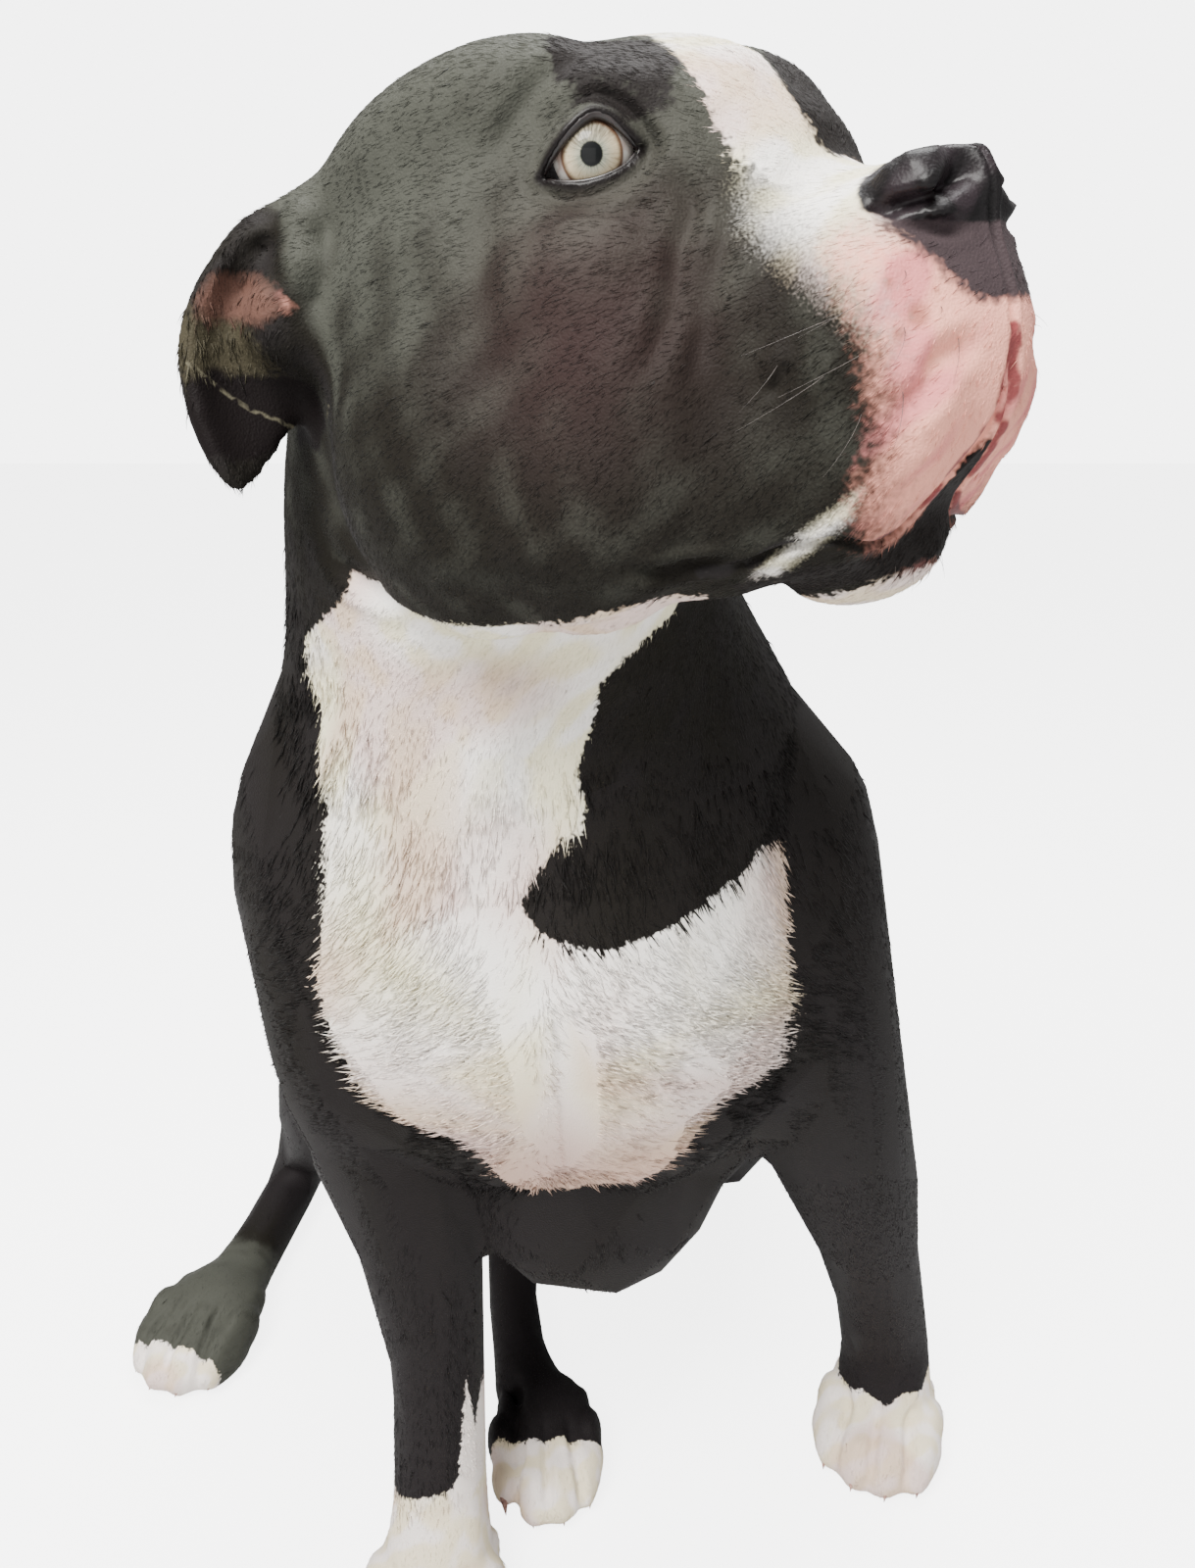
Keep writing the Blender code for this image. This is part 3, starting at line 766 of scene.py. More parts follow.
    def refine(self, chosen: np.ndarray) -> None:
        """Splits the faces whose vertices are chosen, once.

        Args:
            chosen: one truth value a vertex.
        """
        select(self.piece)
        mesh = self.piece.data
        mesh.polygons.foreach_set("select", np.zeros(len(mesh.polygons), dtype=bool))
        mesh.edges.foreach_set("select", np.zeros(len(mesh.edges), dtype=bool))
        mesh.vertices.foreach_set("select", chosen)
        bpy.ops.object.mode_set(mode="EDIT")
        bpy.ops.mesh.select_mode(type="VERT")
        bpy.ops.object.mode_set(mode="OBJECT")
        mesh.vertices.foreach_set("select", chosen)
        ends = np.empty(len(mesh.edges) * 2, dtype=np.int32)
        mesh.edges.foreach_get("vertices", ends)
        mesh.edges.foreach_set("select", chosen[ends].reshape(-1, 2).all(axis=1))
        bpy.ops.object.mode_set(mode="EDIT")
        bpy.ops.mesh.subdivide(number_cuts=1, smoothness=0.0)
        bpy.ops.mesh.select_all(action="SELECT")
        bpy.ops.mesh.quads_convert_to_tris(quad_method="BEAUTY", ngon_method="BEAUTY")
        bpy.ops.object.mode_set(mode="OBJECT")

    def draw(self, strokes: tuple[Stroke, ...], in_head: bool) -> None:
        """Lifts or sinks the skin along strokes.

        Args:
            strokes: the strokes, in millimetres.
            in_head: whether their corners are in the head's frame.
        """
        tree = BVHTree.FromObject(self.piece, bpy.context.evaluated_depsgraph_get())
        points, normals = mesh_points(self.piece.data), mesh_normals(self.piece.data)
        moves = np.zeros(len(points))
        for stroke in strokes:
            for side in (1, -1) if stroke.both else (1,):
                corners = np.array(stroke.corners, dtype=float) / 1000
                corners[:, 1] *= side
                if in_head:
                    corners[:, 1] += self.head.midline(corners[:, 0])
                    corners = self.head.outward(corners)
                line = curve_points(corners) if len(corners) > 2 else corners
                line = np.array([tree.find_nearest(Vector(place))[0] for place in line])
                width = stroke.width / 1000
                low, high = line.min(axis=0) - 5 * width, line.max(axis=0) + 5 * width
                near = np.nonzero(((points > low) & (points < high)).all(axis=1))[0]
                if not len(near):
                    continue
                distance, share = line_distance(points[near], line)
                ends = 1.0
                if len(corners) > 2:
                    ends = smooth_step(share, -0.001, stroke.fade)
                    ends *= smooth_step(1 - share, -0.001, stroke.fade)
                profile = np.exp(-((distance / width) ** 2))
                profile -= stroke.lips * np.exp(-(((distance - 2.1 * width) / width) ** 2))
                moves[near] += stroke.rise / 1000 * ends * profile
        set_points(self.piece.data, points + normals * moves[:, None])

    def near_eye(self, side: Side, reach: float) -> np.ndarray:
        """Which vertices lie within reach of an eye's middle, in metres."""
        return np.linalg.norm(mesh_points(self.piece.data) - self.head.eye(side), axis=1) < reach

    def in_block(self, ahead: Flat, wide: float, above: Flat) -> np.ndarray:
        """Which vertices lie in a block of the head's frame.

        Args:
            ahead: its least and greatest place forward, in millimetres.
            wide: its half width.
            above: its least and greatest height.

        Returns:
            One truth value a vertex.
        """
        local = self.head.inward(mesh_points(self.piece.data)) * 1000
        inside = (local[:, 0] > ahead[0]) & (local[:, 0] < ahead[1]) & (np.abs(local[:, 1]) < wide)
        return inside & (local[:, 2] > above[0]) & (local[:, 2] < above[1])

    def shape(self) -> None:
        """Draws the face's folds, nose, mouth and lids, and the body's muscles."""
        face = self.in_block((40, 200), 62, (-104, 40))
        for side in Side:
            face |= self.near_eye(side, 0.030)
        self.refine(face)
        self.draw(HEAD_STROKES, True)
        for side in Side:
            self.refine(self.near_eye(side, 0.020))
        self.refine(self.in_block((92, 200), 27, (-22, 16)))
        self.draw(NOSE_STROKES, True)
        self.draw(BODY_STROKES, False)
        self.draw(self.toe_clefts(), False)
        self.draw((Stroke(MOUTH_LINE, 1.25, -3.0, 0.06, True, 0.12),), True)
        for side in Side:
            self.open_eye(side)

    def open_eye(self, side: Side) -> None:
        """Opens the lids round an eyeball.

        Args:
            side: which eye.
        """
        form = self.eye
        middle = self.head.eye(side)
        axes = form.directions(self.head, side)
        points = mesh_points(self.piece.data)
        near = np.nonzero(np.linalg.norm(points - middle, axis=1) < 0.028)[0]
        local = (points[near] - middle) @ axes.T * 1000
        outside = signed_distance(local[:, :2], form.edge())
        across = np.linalg.norm(local[:, :2], axis=1)
        front = local[:, 2] > -2.0
        sunk = np.sqrt(np.maximum((form.ball - 1.2) ** 2 - across ** 2, 30.0))
        lidded = np.sqrt(np.maximum((form.ball + form.lid) ** 2 - (across * 0.80) ** 2, 36.0))
        blend = smooth_step(outside, 0.5, 8.0)
        lifted = lidded * (1 - blend) + local[:, 2] * blend
        above = local[:, 1] > -2.0
        crease = np.where(above, -0.9, -0.6) * np.exp(-(((outside - 4.6) / 1.3) ** 2))
        lifted += crease + np.where(above, 0.9, 0.5) * np.exp(-(((outside - 1.6) / 1.5) ** 2))
        target = np.where(outside < 0, sunk, lifted)
        local[:, 2] = np.where(front, target, local[:, 2])
        points[near] = local / 1000 @ axes + middle
        set_points(self.piece.data, points)

    def thin(self) -> None:
        """Draws the skin in under the coat and brings it under its limit of triangles."""
        points, normals = mesh_points(self.piece.data), mesh_normals(self.piece.data)
        away = np.linalg.norm(self.head.inward(points), axis=1)
        depth = self.depth * smooth_step(away, 0.08, 0.16)
        set_points(self.piece.data, points - normals * depth[:, None])
        face = 1 - smooth_step(away, 0.12, 0.17)
        self.weigh(1 - np.maximum(face * 0.9, self.near_paws(points) * 0.5))
        count = sum(len(face.vertices) - 2 for face in self.piece.data.polygons)
        apply_modifier(
            self.piece, "DECIMATE", ratio=min(1.0, self.limit / count), vertex_group="body",
            vertex_group_factor=2.0, use_collapse_triangulate=True,
        )
        select(self.piece)
        bpy.ops.object.shade_smooth()


class Plane(Enum):
    """The two directions of an outline, its depth's, and whether they are the head's own."""

    SIDE = (0, 2, 1, True)
    TOP = (0, 1, 2, True)
    FACE = (1, 2, 0, True)
    FRONT = (0, 2, 1, False)


@dataclass(frozen=True)
class Patch:
    """A coloured area given by an outline, in millimetres.

    Attributes:
        plane: the outline's plane. FRONT is the whole dog's, the others are the head's.
        outline: its corners in order.
        depth: the least and greatest place along the third direction, mirrored with the head.
        both: whether the head's other side has it too.
        slope: how fast its mark rises inside, less than 1 for an edge that breaks up.
    """

    plane: Plane
    outline: tuple[Flat, ...]
    depth: Flat = (-900.0, 900.0)
    both: bool = True
    slope: float = 1.0


BIB = Patch(Plane.FRONT, (
    (-30, 600), (-36, 578), (-42, 571), (-64, 551), (-61, 538), (-52, 508), (-54, 487), (-70, 473),
    (-71, 452), (-67, 404), (-62, 372), (-40, 344), (-4, 341), (7, 308), (21, 285), (46, 296),
    (73, 304), (89, 332), (103, 355), (116, 366), (134, 361), (126, 386), (134, 394), (128, 423),
    (131, 445), (126, 478), (121, 466), (108, 453), (94, 440), (72, 447), (69, 437), (54, 431),
    (37, 435), (24, 443), (19, 456), (26, 469), (47, 473), (46, 495), (42, 508), (49, 527),
    (51, 543), (65, 557), (79, 568), (84, 600),
))

# the blaze, under the chin, and the two white forefeet
WHITE_PATCHES = (
    Patch(Plane.TOP, (
        (22, -6), (34, -12), (46, -20), (56, -28), (62, -31), (66, -32), (70, -30), (76, -25), (82, -20),
        (86, -2), (80, -5), (75, -8), (68, -6), (56, -5), (44, -4), (32, -2),
    ), (8, 120), False),
    Patch(Plane.FACE, ((-24, -99), (-14, -96.5), (0, -96), (14, -96.5), (24, -99), (30, -130), (-30, -130)),
          (40, 110), False, 0.6),
    Patch(Plane.FRONT, (
        (-96, -9), (-96, 66), (-59, 74), (-50, 80), (-43, 86), (-35, 84), (-28, 89), (-19, 97), (-15, 130),
        (-15, 185), (-11, 196), (-8, 160), (-7, 110), (4, 92), (8, -9),
    ), (-320, -150)),
    Patch(Plane.FRONT, (
        (176, -9), (178, 38), (190, 47), (204, 43), (216, 52), (228, 47), (240, 56), (252, 53), (262, 62),
        (296, 66), (296, -9),
    ), (-240, -60)),
)

MUZZLE_PATCH = Patch(Plane.SIDE, (
    (78, 40), (77, 14), (75, 10), (76, 2), (83, -8), (90, -17), (97, -26), (103, -36), (108, -44), (130, -46),
    (130, 40),
), (-60, 60), False)

# bare pink of the flews, and inside the folded ear
PINK_PATCHES = (
    Patch(Plane.SIDE, (
        (95, -14), (99, -26), (101, -38), (100, -49), (98, -59), (94, -68), (89, -76), (84, -92), (135, -92),
        (135, -12), (104, -14),
    ), (-60, 60), False, 0.32),
    Patch(Plane.SIDE, (
        (-84, 29), (-83, 35), (-78, 40), (-70, 37), (-62, 31), (-59, 24), (-66, 22), (-74, 25),
    ), (-130, -70)),
)

STRIPE_PATCH = Patch(Plane.SIDE, (
    (89, -71), (78, -75.5), (67, -80), (56, -84.5), (46, -92), (52, -92), (62, -86.5), (72, -82.5),
    (84, -77.5),
), (-60, -24))

SNOUT_PATCH = Patch(Plane.SIDE, (
    (97, 16), (96, 2), (99, -6), (103, -12), (109, -20), (114, -29), (117.5, -35), (135, -37), (135, 16),
), (-30, 30), False)

# beside the blaze, round the far brow, and the edge of the chin
DARK_PATCHES = (
    Patch(Plane.TOP, ((27, -24), (27, -42), (33, -50), (42, -51), (50, -45), (58, -38), (59, -30), (46, -22)),
          (34, 100)),
    Patch(Plane.TOP, ((66, 0), (74, -7), (79, -9), (83, -3), (88, 10), (88, 44), (60, 44), (58, 12)),
          (14, 70), False, 0.8),
    Patch(Plane.FACE, (
        (0, -66), (-3.5, -70), (-6, -76), (-10, -83), (-18, -88), (-28, -88.5), (-40, -87), (-54, -88),
        (-54, -94), (-34, -96), (0, -94.5), (34, -96), (54, -94), (54, -88), (40, -87), (28, -88.5),
        (18, -88), (10, -83), (6, -76), (3.5, -70),
    ), (46, 125), False),
)

NOSE_PATCH = Patch(Plane.SIDE, (
    (96.5, -1), (97, 6), (100, 11), (106, 20), (135, 20), (135, -17), (119, -16.5), (112, -14), (104, -11),
    (99, -7),
), (-25, 25), False)

# painted shade in the hollow of the folded ear, laid on in the wet colour
EAR_SHADE_PATCH = Patch(Plane.SIDE, (
    (-90, 15), (-84, 11), (-75, 11), (-71, 3), (-75, -9), (-84, -12), (-100, -9), (-98, 0), (-92, 8),
), (-130, -60))
OLIVE_PATCH = Patch(Plane.SIDE, ((-95, 30), (-86, 33), (-78, 28), (-72, 20), (-74, 12), (-84, 10), (-92, 13)),
                    (-130, -70), True, 0.6)
# areas whose marks are taken straight from their outlines
AREAS = {
    "pink": PINK_PATCHES, "dark": DARK_PATCHES, "snout": (SNOUT_PATCH,), "nose": (NOSE_PATCH,),
    "ear_shade": (EAR_SHADE_PATCH,), "olive": (OLIVE_PATCH,),
}
# painted highlight: the pale, lit edge of the folded ear, left and up of the head's middle
EAR_LIT_EDGE = ((-108, 22), (-101, 15), (-95, 9.5), (-87, 1.5), (-78, -4), (-73, -6))
# freckles on the near flew, each with its radius
SPOTS = (
    (104, -29, -26, 1.4), (109, -25.7, -35, 2.8), (105, -30, -38, 1.6), (101, -32, -41, 1.2),
    (112, -20, -30, 0.8),
)
# the two runs of each nostril
NOSTRIL = (((119, -9.5, -4.5), (114, -14.5, -8)), ((108, -19.5, -8.5), (100, -23, -6.5)))
# the face lies above this line
JAW_LINE = (
    (-150, -20), (-106, -38), (-98, -49), (-88, -57), (-66, -67), (-43, -76), (-22, -83), (4, -86), (26, -86),
    (46, -92), (60, -104), (60, 200), (-150, 200),
)


@dataclass
class Markings:
    """Where the dog's colours lie, as distances inside each edge.

    Attributes:
        head: the head's frame.
        eye: the eyes' form.
        reach: how far from an edge its distance is kept, in millimetres.
        tips: how far ahead of each hind paw's middle its white starts, in millimetres.
    """

    head: HeadFrame
    eye: EyeForm
    reach: float = 40.0
    tips: tuple[tuple[str, float], ...] = (("hindleg_right", 35.0), ("hindleg_left", 15.0))

    def inside(self, patch: Patch, world: np.ndarray, local: np.ndarray) -> np.ndarray:
        """How far places lie inside a patch, in millimetres.

        Args:
            patch: the patch.
            world: places in the whole dog's frame, in millimetres.
            local: the same places in the head's frame.

        Returns:
            One distance a place, less than 0 outside.
        """
        outline = np.array([*patch.outline, patch.outline[0]], dtype=float)
        best = np.full(len(world), -99.0)
        first, second, third, in_head = patch.plane.value
        for side in (1, -1) if patch.both and in_head else (1,):
            places = (local * (1, side, 1)) if in_head else world
            flat = -signed_distance(places[:, (first, second)], outline)
            flat = np.minimum(flat, places[:, third] - patch.depth[0])
            best = np.maximum(best, np.minimum(flat, patch.depth[1] - places[:, third]))
        return best * patch.slope

    def largest(self, patches: tuple[Patch, ...], world: np.ndarray, local: np.ndarray) -> np.ndarray:
        """The deepest of several patches at each place."""
        return np.max([self.inside(patch, world, local) for patch in patches], axis=0)

    def toe_tips(self, points: np.ndarray) -> np.ndarray:
        """How far places lie on the white ends of the hind toes, in millimetres.

        Args:
            points: the places in metres.

        Returns:
            One distance a point, less than 0 outside.
        """
        best = np.full(len(points), -99.0)
        for name, edge in self.tips:
            paw = PAWS[name]
            middle = np.array(paw.spot(0.0, 0.0, 0.0))
            ahead = np.array(paw.spot(0.0, 1.0, 0.0)) - middle
            reach = (points - middle) @ ahead * 1000 - edge
            near = 65 - np.linalg.norm(points - middle, axis=1) * 1000
            best = np.maximum(best, np.minimum(reach, near))
        return best

    def lids(self, points: np.ndarray) -> np.ndarray:
        """How far places lie outside the lids' edges, in millimetres, 99 away from the eyes.

        Args:
            points: the places in metres.

        Returns:
            One distance a point.
        """
        far = np.full(len(points), 99.0)
        for side in Side:
            middle = self.head.eye(side)
            near = np.nonzero(np.linalg.norm(points - middle, axis=1) < 0.03)[0]
            flat = (points[near] - middle) @ self.eye.directions(self.head, side).T * 1000
            away = signed_distance(flat[:, :2], self.eye.edge())
            far[near] = np.where(flat[:, 2] > -3, away, 99.0)
        return far

    def slit(self, folded: np.ndarray) -> np.ndarray:
        """The mouth's line laid on the skin.

        Args:
            folded: the skin's places in the head's frame, in millimetres, all on its right side.

        Returns:
            The line's places, one row each.
        """
        near = folded[folded[:, 0] > 30]
        line = curve_points(np.array(MOUTH_LINE, dtype=float))
        line = np.array([near[np.argmin(np.linalg.norm(near - spot, axis=1))] for spot in line])
        line[1:-1] = (line[:-2] + line[1:-1] + line[2:]) / 3
        return line

    def marks(self, points: np.ndarray) -> dict[str, np.ndarray]:
        """The markings at places on the skin.

        Args:
            points: the places in metres.

        Returns:
            Values by mark: distances inside an edge in millimetres, or shares from 0 to 1.
        """
        world = points * 1000
        local = self.head.inward(points) * 1000
        local[:, 1] -= self.head.midline(local[:, 0] / 1000) * 1000
        jaw = np.array([*JAW_LINE, JAW_LINE[0]], dtype=float)
        under_jaw = signed_distance(local[:, (0, 2)], jaw)
        away = np.linalg.norm(local, axis=1)
        in_face = (away < 190) & ((under_jaw < 0) | (local[:, 0] > 58))
        bib = np.minimum(self.inside(BIB, world, local), -world[:, 1] - 140)
        bib = np.where(away < 190, np.minimum(bib, under_jaw), bib)
        white = np.maximum(bib, self.largest(WHITE_PATCHES, world, local))
        white = np.maximum(white, self.toe_tips(points))
        folded = local.copy()
        folded[:, 1] = -np.abs(local[:, 1])
        lips, _ = line_distance(folded, self.slit(folded))
        # painted shade: how far places lie from the nostrils' runs, for darkening them
        shaded_pits = [line_distance(folded, np.array(run, dtype=float))[0] for run in NOSTRIL]
        stripe = self.inside(STRIPE_PATCH, world, local) * 3.6 - 3.0
        # painted highlight along the lit edge of the folded ear
        rim, _ = line_distance(folded[:, 1:], np.array(EAR_LIT_EDGE, dtype=float))
        rim = np.where((local[:, 0] > -93.5) & (local[:, 0] < -60), rim, 40.0)
        spots = np.full(len(points), self.reach)
        for *place, size in SPOTS:
            middle = local[np.argmin(np.linalg.norm(local - place, axis=1))]
            spots = np.minimum(spots, np.linalg.norm(local - middle, axis=1) - size)
        # painted sheen: the top of the head is lit, so its coat is painted lighter
        top = smooth_step(local[:, 2], -34, 62) * (1 - smooth_step(away, 150, 200))
        face = (1 - smooth_step(away, 130, 180)) * np.where(in_face, 1.0, 0.4)
        # painted shade: the coat is painted darker towards the floor
        low = smooth_step(world[:, 2], 60, 420)
        # painted shade: the hanging ear flaps are painted darker
        ears = smooth_step(np.abs(local[:, 1]), 70, 78) * (1 - smooth_step(local[:, 0], -62, -52))
        paw = np.array(PAWS["hindleg_right"].spot(0.0, 0.0, 0.0))
        feet = 1 - smooth_step(np.linalg.norm(points - paw, axis=1), 0.055, 0.100)
        cheek = np.exp(-(((local[:, 0] - 34) / 30) ** 2) - (((local[:, 2] + 12) / 34) ** 2))
        # the face's own lighter coat and a lighter near hind paw, with painted sheen on the head's top and
        # painted shade low down and on the ear flaps
        tone_and_painted_light = 0.16 + 0.22 * low + face * (0.26 + 0.40 * top) * (1 - 0.9 * ears) + 0.85 * feet
        edges = {name: self.largest(patches, world, local) for name, patches in AREAS.items()} | {
            "white": white,
            "fade": np.maximum(self.inside(MUZZLE_PATCH, world, local), stripe),
            "lids": self.lids(points),
            "lips": lips,
            "shaded_pits": np.minimum(shaded_pits[0], shaded_pits[1] + 2.2),
            "rim": rim,
            "spots": spots,
            "pads": -6.0 - world[:, 2] * 4,
        }
        return {name: np.clip(values, -self.reach, self.reach) for name, values in edges.items()} | {
            "cloud": ripple(points, 0.014, 3),
            "stain": ripple(points, 0.075, 5),
            "tone_and_painted_light": np.clip(tone_and_painted_light, 0, 1),
            "warm": np.clip(cheek * face, 0, 1),
        }

    def comb(self, points: np.ndarray, normals: np.ndarray) -> np.ndarray:
        """The way the hair lies at places on the skin.

        Args:
            points: the places in metres.
            normals: the skin's outward directions there.

        Returns:
            One direction a place, along the skin.
        """
        local = self.head.inward(points)
        away = np.linalg.norm(local, axis=1)
        forward, left, up = self.head.axes
        side = np.sign(local[:, 1])[:, None]
        back = -forward - up * smooth_step(-local[:, 2], -0.02, 0.08)[:, None] * 0.6 + left * side * 0.15
        bridge = 0.35 * smooth_step(local[:, 0], 0.02, 0.06) * smooth_step(local[:, 2], 0.0, 0.03)
        back = back + up * bridge[:, None]
        ears = smooth_step(np.abs(local[:, 1]), 0.078, 0.09) * (1 - smooth_step(local[:, 0], -0.07, -0.05))
        back = back * (1 - ears[:, None]) + (-up * 0.9 - forward * 0.2) * ears[:, None]
        spread = np.stack([
            (points[:, 0] - 0.031) * 3.2, 0.25 + smooth_step(points[:, 1], -0.22, -0.05) * 1.6,
            np.full(len(points), -1.0),
        ], axis=1)
        chest = (1 - smooth_step(points[:, 1], -0.22, -0.17)) * (1 - smooth_step(points[:, 2], 0.40, 0.45))
        chest *= smooth_step(points[:, 2], 0.27, 0.33)
        out = np.tile((0.0, 0.3, -0.35), (len(points), 1))
        out[:, 0] = np.sign(points[:, 0] - 0.033) * 1.3
        spread = spread * (1 - chest[:, None] * 0.8) + out * chest[:, None] * 0.8
        limbs = 1 - smooth_step(points[:, 2], 0.16, 0.30)
        down = np.array([0.0, 0.15, -1.0])
        spread = spread * (1 - limbs[:, None] * 0.6) + down * limbs[:, None] * 0.6
        for paw in PAWS.values():
            middle = np.array(paw.spot(0.0, 0.0, 0.0))
            ahead = np.array(paw.spot(0.0, 1.0, 0.0)) - middle
            near = 1 - smooth_step(np.linalg.norm(points - middle, axis=1), 0.06, 0.09)
            spread = spread * (1 - near[:, None]) + (ahead - np.array([0, 0, 0.4])) * near[:, None]
        face = (1 - smooth_step(away, 0.125, 0.165))[:, None]
        lie = back * face + spread * (1 - face)
        lie = lie - normals * np.sum(lie * normals, axis=1)[:, None]
        return lie / np.maximum(np.linalg.norm(lie, axis=1), 1e-6)[:, None]


def ripple(points: np.ndarray, length: float, seed: int) -> np.ndarray:
    """A soft irregular pattern, 0 to 1, made of waves in many directions.

    Args:
        points: the places in metres.
        length: the waves' mean length in metres.
        seed: which pattern.

    Returns:
        One value a point.
    """
    chance = np.random.default_rng(seed)
    total = np.zeros(len(points))
    for _ in range(9):
        way = chance.normal(size=3)
        way *= 2 * math.pi / (length * chance.uniform(0.6, 1.6) * np.linalg.norm(way))
        total += np.sin(points @ way + chance.uniform(0, 2 * math.pi))
    return np.clip(0.5 + total / 8.5, 0.0, 1.0)


def store(mesh: bpy.types.Mesh, name: str, values: np.ndarray) -> None:
    """Keeps a value or a direction on every vertex.

    Args:
        mesh: the mesh.
        name: the attribute's name.
        values: one number, or one row of three, a vertex.
    """
    kind, key = ("FLOAT", "value") if values.ndim == 1 else ("FLOAT_VECTOR", "vector")
    layer = mesh.attributes.get(name) or mesh.attributes.new(name, kind, "POINT")
    layer.data.foreach_set(key, np.ascontiguousarray(values, dtype=np.float32).ravel())


def tint(red: int, green: int, blue: int) -> tuple[float, float, float, float]:
    """A screen colour, 0 to 255, as the light values that nodes take."""
    parts = [value / 255 for value in (red, green, blue)]
    linear = [part / 12.92 if part <= 0.04045 else ((part + 0.055) / 1.055) ** 2.4 for part in parts]
    return (*linear, 1.0)


class Wires:
    """A node tree being built, with short ways to add and join nodes."""

    def __init__(self, tree: bpy.types.NodeTree) -> None:
        """Starts on a tree."""
        self.tree = tree

    def add(self, kind: str, **values: object) -> bpy.types.Node:
        """Adds a node and sets its properties.

        Args:
            kind: Blender's name for the node's type.
            **values: the node's properties.

        Returns:
            The node.
        """
        node = self.tree.nodes.new(kind)
        for name, value in values.items():
            setattr(node, name, value)
        return node

    def put(self, socket: bpy.types.NodeSocket, value: object) -> None:
        """Joins or sets a socket.

        Args:
            socket: the input.
            value: an output to join, or a value to set.
        """
        if isinstance(value, bpy.types.NodeSocket):
            self.tree.links.new(value, socket)
        else:
            socket.default_value = value

    def math(self, kind: str, first: object, second: object = 0.0,
             third: object = 0.0) -> bpy.types.NodeSocket:
        """A Math node.

        Args:
            kind: the operation.
            first: an output or a number.
            second: an output or a number.
            third: an output or a number.

        Returns:
            The result.
        """
        node = self.add("ShaderNodeMath", operation=kind)
        for socket, value in zip(node.inputs, (first, second, third)):
            self.put(socket, value)
        return node.outputs[0]

    def ramp(self, value: object, low: float, high: float, start: float = 0.0,
             end: float = 1.0) -> bpy.types.NodeSocket:
        """A smooth Map Range node.

        Args:
            value: the input.
            low: where it starts.
            high: where it ends.
            start: the result at low.
            end: the result at high.

        Returns:
            The result.
        """
        node = self.add("ShaderNodeMapRange", interpolation_type="SMOOTHSTEP")
        for socket, item in zip(node.inputs, (value, low, high, start, end)):
            self.put(socket, item)
        return node.outputs[0]

    def mix(self, share: object, first: object, second: object, blend: str = "MIX") -> bpy.types.NodeSocket:
        """A colour Mix node.

        Args:
            share: how much of the second.
            first: a colour or an output.
            second: a colour or an output.
            blend: how they mix.

        Returns:
            The mixed colour.
        """
        node = self.add("ShaderNodeMix", data_type="RGBA", blend_type=blend)
        self.put(node.inputs[0], share)
        self.put(node.inputs[6], first)
        self.put(node.inputs[7], second)
        return node.outputs[2]

    def noise(self, scale: float, detail: float = 3.0, rough: float = 0.5,
              place: object = None) -> bpy.types.NodeSocket:
        """A Noise node's value on Object coordinates or a given place.

        Args:
            scale: patterns in a metre.
            detail: its finer layers.
            rough: how strong they are.
            place: where it is read, Object coordinates if None.

        Returns:
            The value, 0 to 1.
        """
        node = self.add("ShaderNodeTexNoise")
        self.put(node.inputs["Vector"], place or self.place())
        self.put(node.inputs["Scale"], scale)
        self.put(node.inputs["Detail"], detail)
        self.put(node.inputs["Roughness"], rough)
        return node.outputs[0]

    def place(self) -> bpy.types.NodeSocket:
        """Object coordinates."""
        return self.add("ShaderNodeTexCoord").outputs["Object"]

    def mark(self, name: str) -> bpy.types.NodeSocket:
        """An attribute's value."""
        return self.add("ShaderNodeAttribute", attribute_name=name).outputs["Fac"]

    def bump(self, normal: bpy.types.NodeSocket, height: object, strength: float, distance: float) -> None:
        """A Bump node joined to a shader.

        Args:
            normal: the shader's input.
            height: the pattern that stands out.
            strength: how strongly.
            distance: how far, in metres.
        """
        node = self.add("ShaderNodeBump")
        self.put(node.inputs["Height"], height)
        self.put(node.inputs["Strength"], strength)
        self.put(node.inputs["Distance"], distance)
        self.put(normal, node.outputs[0])

    def edge(self, name: str, jitter: object, spread: float, soft: float = 0.5) -> bpy.types.NodeSocket:
        """A mask inside a mark's edge, with the edge shifted by a pattern.

        Args:
            name: the mark.
            jitter: a pattern, 0 to 1.
            spread: how far it shifts the edge, in millimetres.
            soft: the edge's half width in millimetres.

        Returns:
            The mask.
        """
        shifted = self.math("MULTIPLY_ADD", self.math("SUBTRACT", jitter, 0.5), spread * 2, self.mark(name))
        return self.ramp(shifted, -soft, soft)


def new_material(name: str) -> tuple[bpy.types.Material, Wires, bpy.types.bpy_prop_collection]:
    """A new material with nodes.

    Args:
        name: its name.

    Returns:
        The material, its node tree's helper, and its Principled shader's inputs.
    """
    made = bpy.data.materials.new(name)
    made.use_nodes = True
    return made, Wires(made.node_tree), made.node_tree.nodes["Principled BSDF"].inputs


